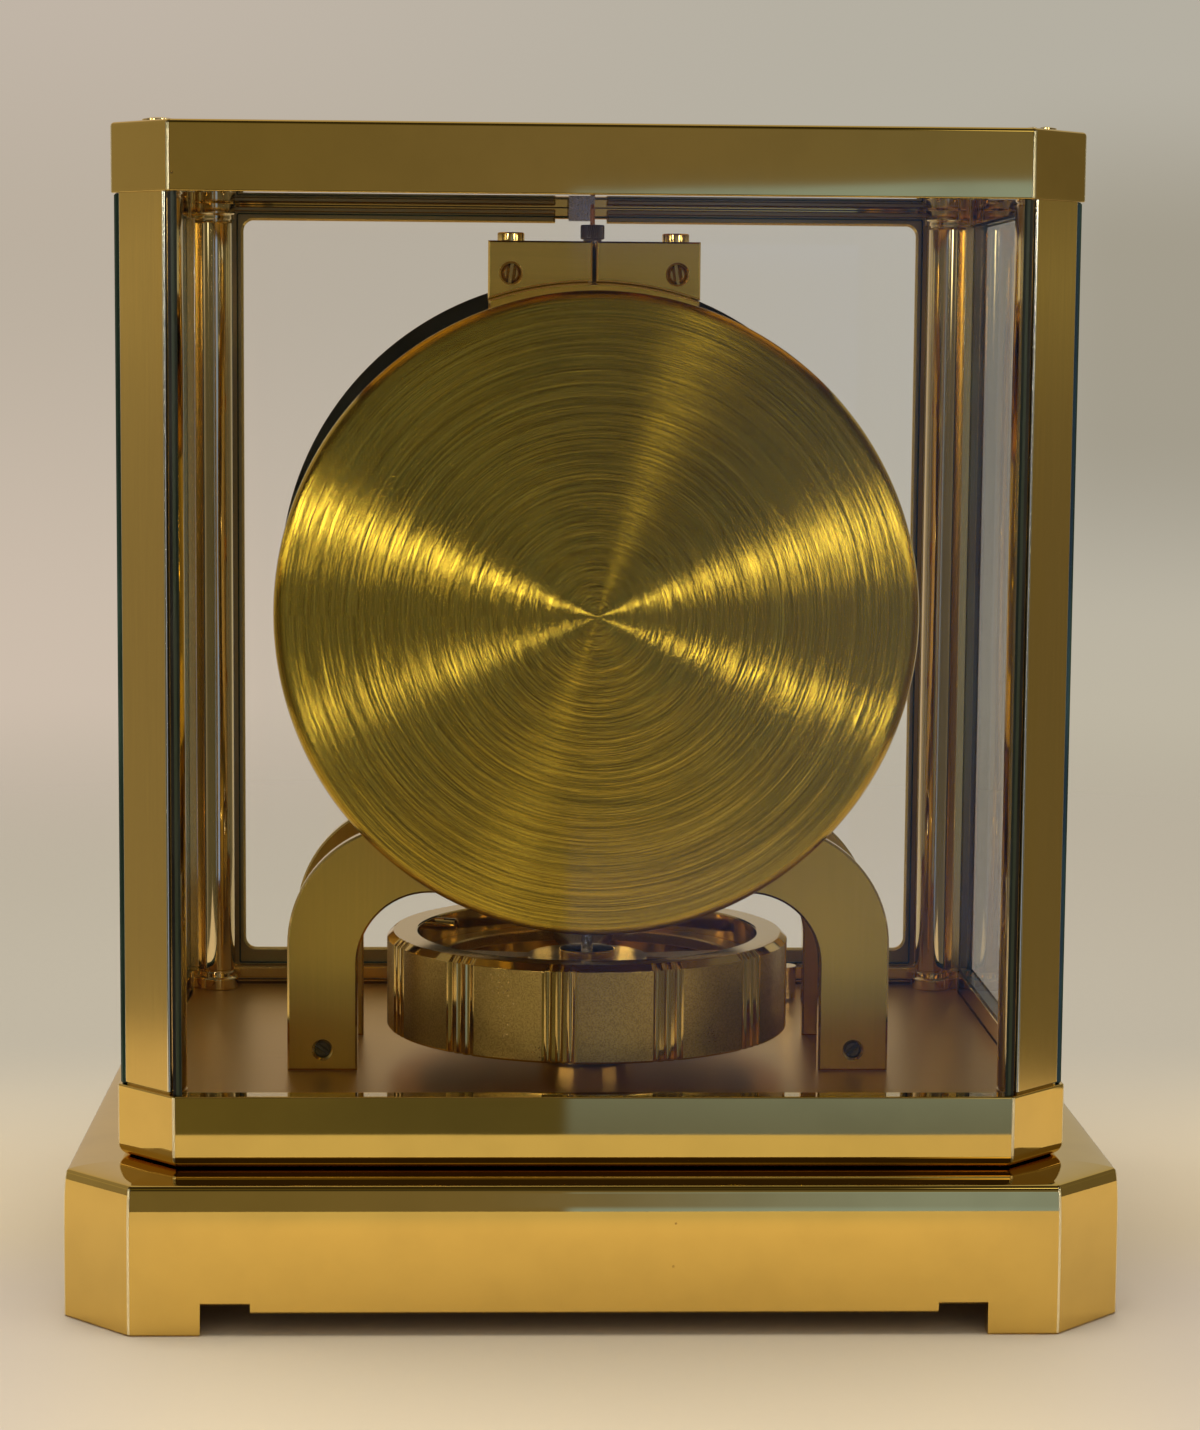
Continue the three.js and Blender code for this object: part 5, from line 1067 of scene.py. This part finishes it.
# %% [markdown]
# ## Studio
#
# Polished metal has hardly any colour of its own, so the studio is most of the picture. The clock
# stands on a pale table whose edge is close in front of it, and a darker room lies beyond. The low
# faces of the plinth mirror the pale table, and everything above mirrors the room.

# %% Table
def staged(name, points, faces):
    """A mesh that belongs to the studio and not to the clock."""
    mesh = bpy.data.meshes.new(name)
    mesh.from_pydata(points.tolist(), [], faces)
    obj = bpy.data.objects.new(name, mesh)
    bpy.context.scene.collection.objects.link(obj)
    return obj


def disc(name, radius, rings=24, sides=96):
    """Flat disc at height 0: points at equal angles on circles whose radii grow evenly."""
    r = np.linspace(0, radius, rings + 1)[1:, None]
    u = np.arange(sides) * 2 * np.pi / sides
    grid = np.stack([r * np.cos(u), r * np.sin(u), 0 * r * u], -1).reshape(-1, 3)
    points = np.concatenate([grid, [[0, 0, 0]]])
    faces = strips(rings, sides, False).tolist()
    faces += [[len(grid), k, (k + 1) % sides] for k in range(sides)]
    return staged(name, points, faces)


PALE = (0.74, 0.605, 0.405)
table = disc("table", 1.6)
look, place = start("pale table")
x, y, _ = place.parts()
reach = place.vector("LENGTH", out=1)
fibre = place.noise(420.0, 4.0, 0.7)
# The table is darker behind a line just in front of the plinth, and darker and greyer further back. Near
# its front edge, and out to both sides in front, it is a little darker and bluer.
tint = between(y.ease(-0.090, -0.064), PALE, shade(PALE, 0.84))
tint = between(y.ease(0.0, 0.20), tint, (0.385, 0.345, 0.272))
tint = between(y.ease(-0.165, -0.205), tint, shade(PALE, (0.76, 0.83, 0.90)))
beside = x.sum("ABSOLUTE").ease(0.06, 0.13) * y.ease(0.0, -0.06)
tint = between(beside, tint, shade(PALE, (0.80, 0.82, 0.95)))
tint = between(fibre * 0.12, tint, shade(PALE, 0.8))
cloth = principled(place, Base_Color=tint, Roughness=0.9, Normal=relief(place, fibre * 2e-5))

# %% [markdown]
# A polished face sees the table end sooner than the camera does, as if the far part were in the
# dark. So a mirrored ray finds no cloth beyond three straight lines. Far out the table fades.

# %% Where the table ends
mirrored_ray = place.node("LightPath", out="Is Glossy Ray")
beyond = y.ease(-0.2235, -0.2255) + x.ease(0.286, 0.290) + x.ease(-0.354, -0.358)
gone = (reach.ease(0.30, 1.15) + mirrored_ray * beyond.sum("MINIMUM", 1.0)).sum("MINIMUM", 1.0)
clear = place.node("BsdfTransparent")
mixed = place.node("MixShader", {}, {0: gone, 1: cloth, 2: clear})
table.data.materials.append(finish(look, mixed))

# %% [markdown]
# The room is a large shell round the camera's side. It is painted with light by direction and is
# hidden from the camera, as the flags and boxes of a photographer are. Its walls are a row of
# colours from left to right. Over them lie the dark upper room, a soft patch of ceiling, two zones
# of floor and a tall bluish screen to the right of the middle, whose left edge is crisp where the
# plinth, the rim and the cap mirror it and soft where the rear glass does.

# %% Room shell
def shell(name, radius, azimuths, elevations, steps=(48, 24)):
    """Part of a sphere: direction from an azimuth, 0 towards the camera and growing to the right,
    and an elevation above the horizon."""
    a = np.radians(np.linspace(*azimuths, steps[0]))[:, None]
    e = np.radians(np.linspace(*elevations, steps[1]))[None, :]
    points = radius * np.stack([np.sin(a) * np.cos(e), -np.cos(a) * np.cos(e), np.sin(e) + 0 * a], -1)
    i, j = np.meshgrid(np.arange(steps[0] - 1), np.arange(steps[1] - 1), indexing="ij")
    k = i * steps[1] + j
    faces = np.stack([k, k + steps[1], k + steps[1] + 1, k + 1], -1).reshape(-1, 4)
    return staged(name, points.reshape(-1, 3), faces.tolist())


ROOM_RADIUS = 40.0
room = shell("room", ROOM_RADIUS, (-128, 128), (-60, 78))
room.visible_camera = room.visible_diffuse = room.visible_shadow = False
look, place = start("room by direction")
x, y, z = place.parts()
azimuth = x.sum("ARCTAN2", y * -1) * (180 / math.pi)
elevation = (z / ROOM_RADIUS).sum("ARCSINE") * (180 / math.pi)


def box_of_light(left, right, low, high, soft):
    """1 inside a window of directions, in degrees, and 0 outside it."""
    across = azimuth.ease(left - soft, left + soft) * azimuth.ease(right + soft, right - soft)
    return across * elevation.ease(low - soft, low + soft) * elevation.ease(high + soft, high - soft)


def walls(stops):
    """Colour by azimuth: smooth steps between the colours at the given degrees."""
    colour = stops[0][1]
    for (left, _), (right, tone) in zip(stops[:-1], stops[1:]):
        colour = between(azimuth.ease(left, right), colour, tone)
    return colour


# %% Walls, ceiling and floor of the room
DIM = (0.10, 0.088, 0.052)
colour = walls([(-100, (0.30, 0.265, 0.21)), (-70, DIM), (-14, DIM), (-5, (0.185, 0.162, 0.107)),
                (2, (0.20, 0.179, 0.150)), (9, (0.19, 0.184, 0.170)), (22, DIM), (70, DIM),
                (95, (0.155, 0.135, 0.095))])
front = azimuth.ease(-84, -68) * azimuth.ease(84, 68)
colour = between(elevation.ease(4.4, 8.0) * front, colour, (0.036, 0.029, 0.014))
colour = between(box_of_light(-18, 14, 11, 19, 3.0), colour,
                 between(azimuth.ease(-7, 1), (0.27, 0.25, 0.115), (0.16, 0.145, 0.08)))
near_floor = between(azimuth.ease(-6, 0), (0.139, 0.126, 0.065), (0.104, 0.100, 0.065))
colour = between(elevation.ease(-10, -13) * front, colour, near_floor)
colour = between(elevation.ease(-16, -19) * front, colour, (0.045, 0.038, 0.018))

# %% Screen
crisp = azimuth.ease(1.35, 1.65) * 0.85 + azimuth.ease(2.0, 7.0) * 0.15
behind_glass = elevation.ease(-9.5, -7.5) * elevation.ease(2.4, 1.4)
screen = crisp + (azimuth.ease(-0.5, 10) * 0.8 - crisp) * behind_glass
top_edge = azimuth * 0.035 + 2.93
screen = screen * (top_edge - elevation).ease(-0.03, 0.03) * azimuth.ease(18, 10)
screen = screen * (elevation.ease(-14.5, -9) * 0.70 + 0.30) * elevation.ease(-20, -16)
colour = between(screen, colour, (0.31, 0.49, 1.12))

# %% [markdown]
# Soft windows of light make the bright lines on the drum. Each is a box of directions.

# %% Windows of light
LAMPS = {
    "left": (box_of_light(-34, -24, 4.9, 7.3, 1.0), (30.0, 29.0, 27.0)),
    "right": (box_of_light(24, 34, 3.3, 5.7, 1.0), (17.0, 16.6, 16.0)),
    "top": (box_of_light(9.0, 13.0, 14, 25, 1.6), (2.1, 2.0, 1.5)),
    "post left": (box_of_light(-116, -84, 0.9, 2.2, 0.8), (0.66, 0.58, 0.40)),
    "post right": (box_of_light(84, 116, 0.9, 2.2, 0.8), (0.42, 0.40, 0.26)),
    "edge left": (box_of_light(-56, -48, 3.0, 9.0, 1.5), (9.0, 8.7, 7.0)),
    "edge right": (box_of_light(48, 56, 2.0, 8.0, 1.5), (9.0, 8.7, 7.0)),
}
for light, tone in LAMPS.values():
    colour = between(light, colour, tone)
glow = place.node("Emission", {}, {"Color": colour, "Strength": 1.0})
room.data.materials.append(finish(look, glow))

# %% [markdown]
# The camera and the mirrors see a painted backdrop, and everything else gets an even fill.

# %% World
world = bpy.data.worlds.new("backdrop")
world.use_nodes = True
bpy.context.scene.world = world
world.node_tree.nodes.clear()
coordinates = world.node_tree.nodes.new("ShaderNodeTexCoord")
way = Wire(world.node_tree, coordinates.outputs["Generated"])
x, _, z = way.parts()
seen, gloss, through = (way.node("LightPath", out=f"Is {kind} Ray")
                        for kind in ("Camera", "Glossy", "Transmission"))
seen = (seen + gloss + through).sum("MINIMUM", 1.0)
left_wall = between(z.ease(0.03, -0.10), (0.50, 0.432, 0.350), (0.61, 0.509, 0.412))
left_wall = between(z.ease(0.03, 0.11), left_wall, (0.533, 0.462, 0.386))
right_wall = between(z.ease(0.0, -0.13), (0.462, 0.432, 0.362), (0.515, 0.465, 0.362))
wall = between(x.ease(-0.15, 0.14), left_wall, right_wall)
# A soft painted shadow on the wall to the right of the middle, near the horizon.
painted_wall_shadow = x.ease(0.13, 0.19) * z.ease(-0.085, -0.02) * z.ease(0.085, 0.03)
wall = between(painted_wall_shadow, wall, (0.368, 0.335, 0.264))
wall = between(z.ease(-0.125, -0.185), wall, (0.50, 0.425, 0.335))
backdrop = way.node("Background", {}, {"Color": wall, "Strength": 1.0})
fill = way.node("Background", {}, {"Color": (1.0, 0.98, 0.95, 1.0), "Strength": 0.44})
both = way.node("MixShader", {}, {0: seen, 1: fill, 2: backdrop})
end = world.node_tree.nodes.new("ShaderNodeOutputWorld")
world.node_tree.links.new(both.socket, end.inputs["Surface"])


# %% [markdown]
# One square soft light hangs above and a little behind. It lights matt things only, because the
# polished metal sees the lights that are painted on the room's shell.

# %% Lamp
light = bpy.data.lights.new("soft light above", "AREA")
light.size, light.energy = 1.0, 24.5
lamp = bpy.data.objects.new("soft light above", light)
place, target = Vector((-0.06, 0.12, 1.5)), Vector((0, 0, 0.08))
aim = (place - target).to_track_quat("Z", "Y").to_matrix().to_4x4()
lamp.matrix_world = Matrix.Translation(place) @ aim
lamp.visible_glossy = False
bpy.context.scene.collection.objects.link(lamp)

# %% View transform
bpy.context.scene.view_settings.view_transform = "Standard"
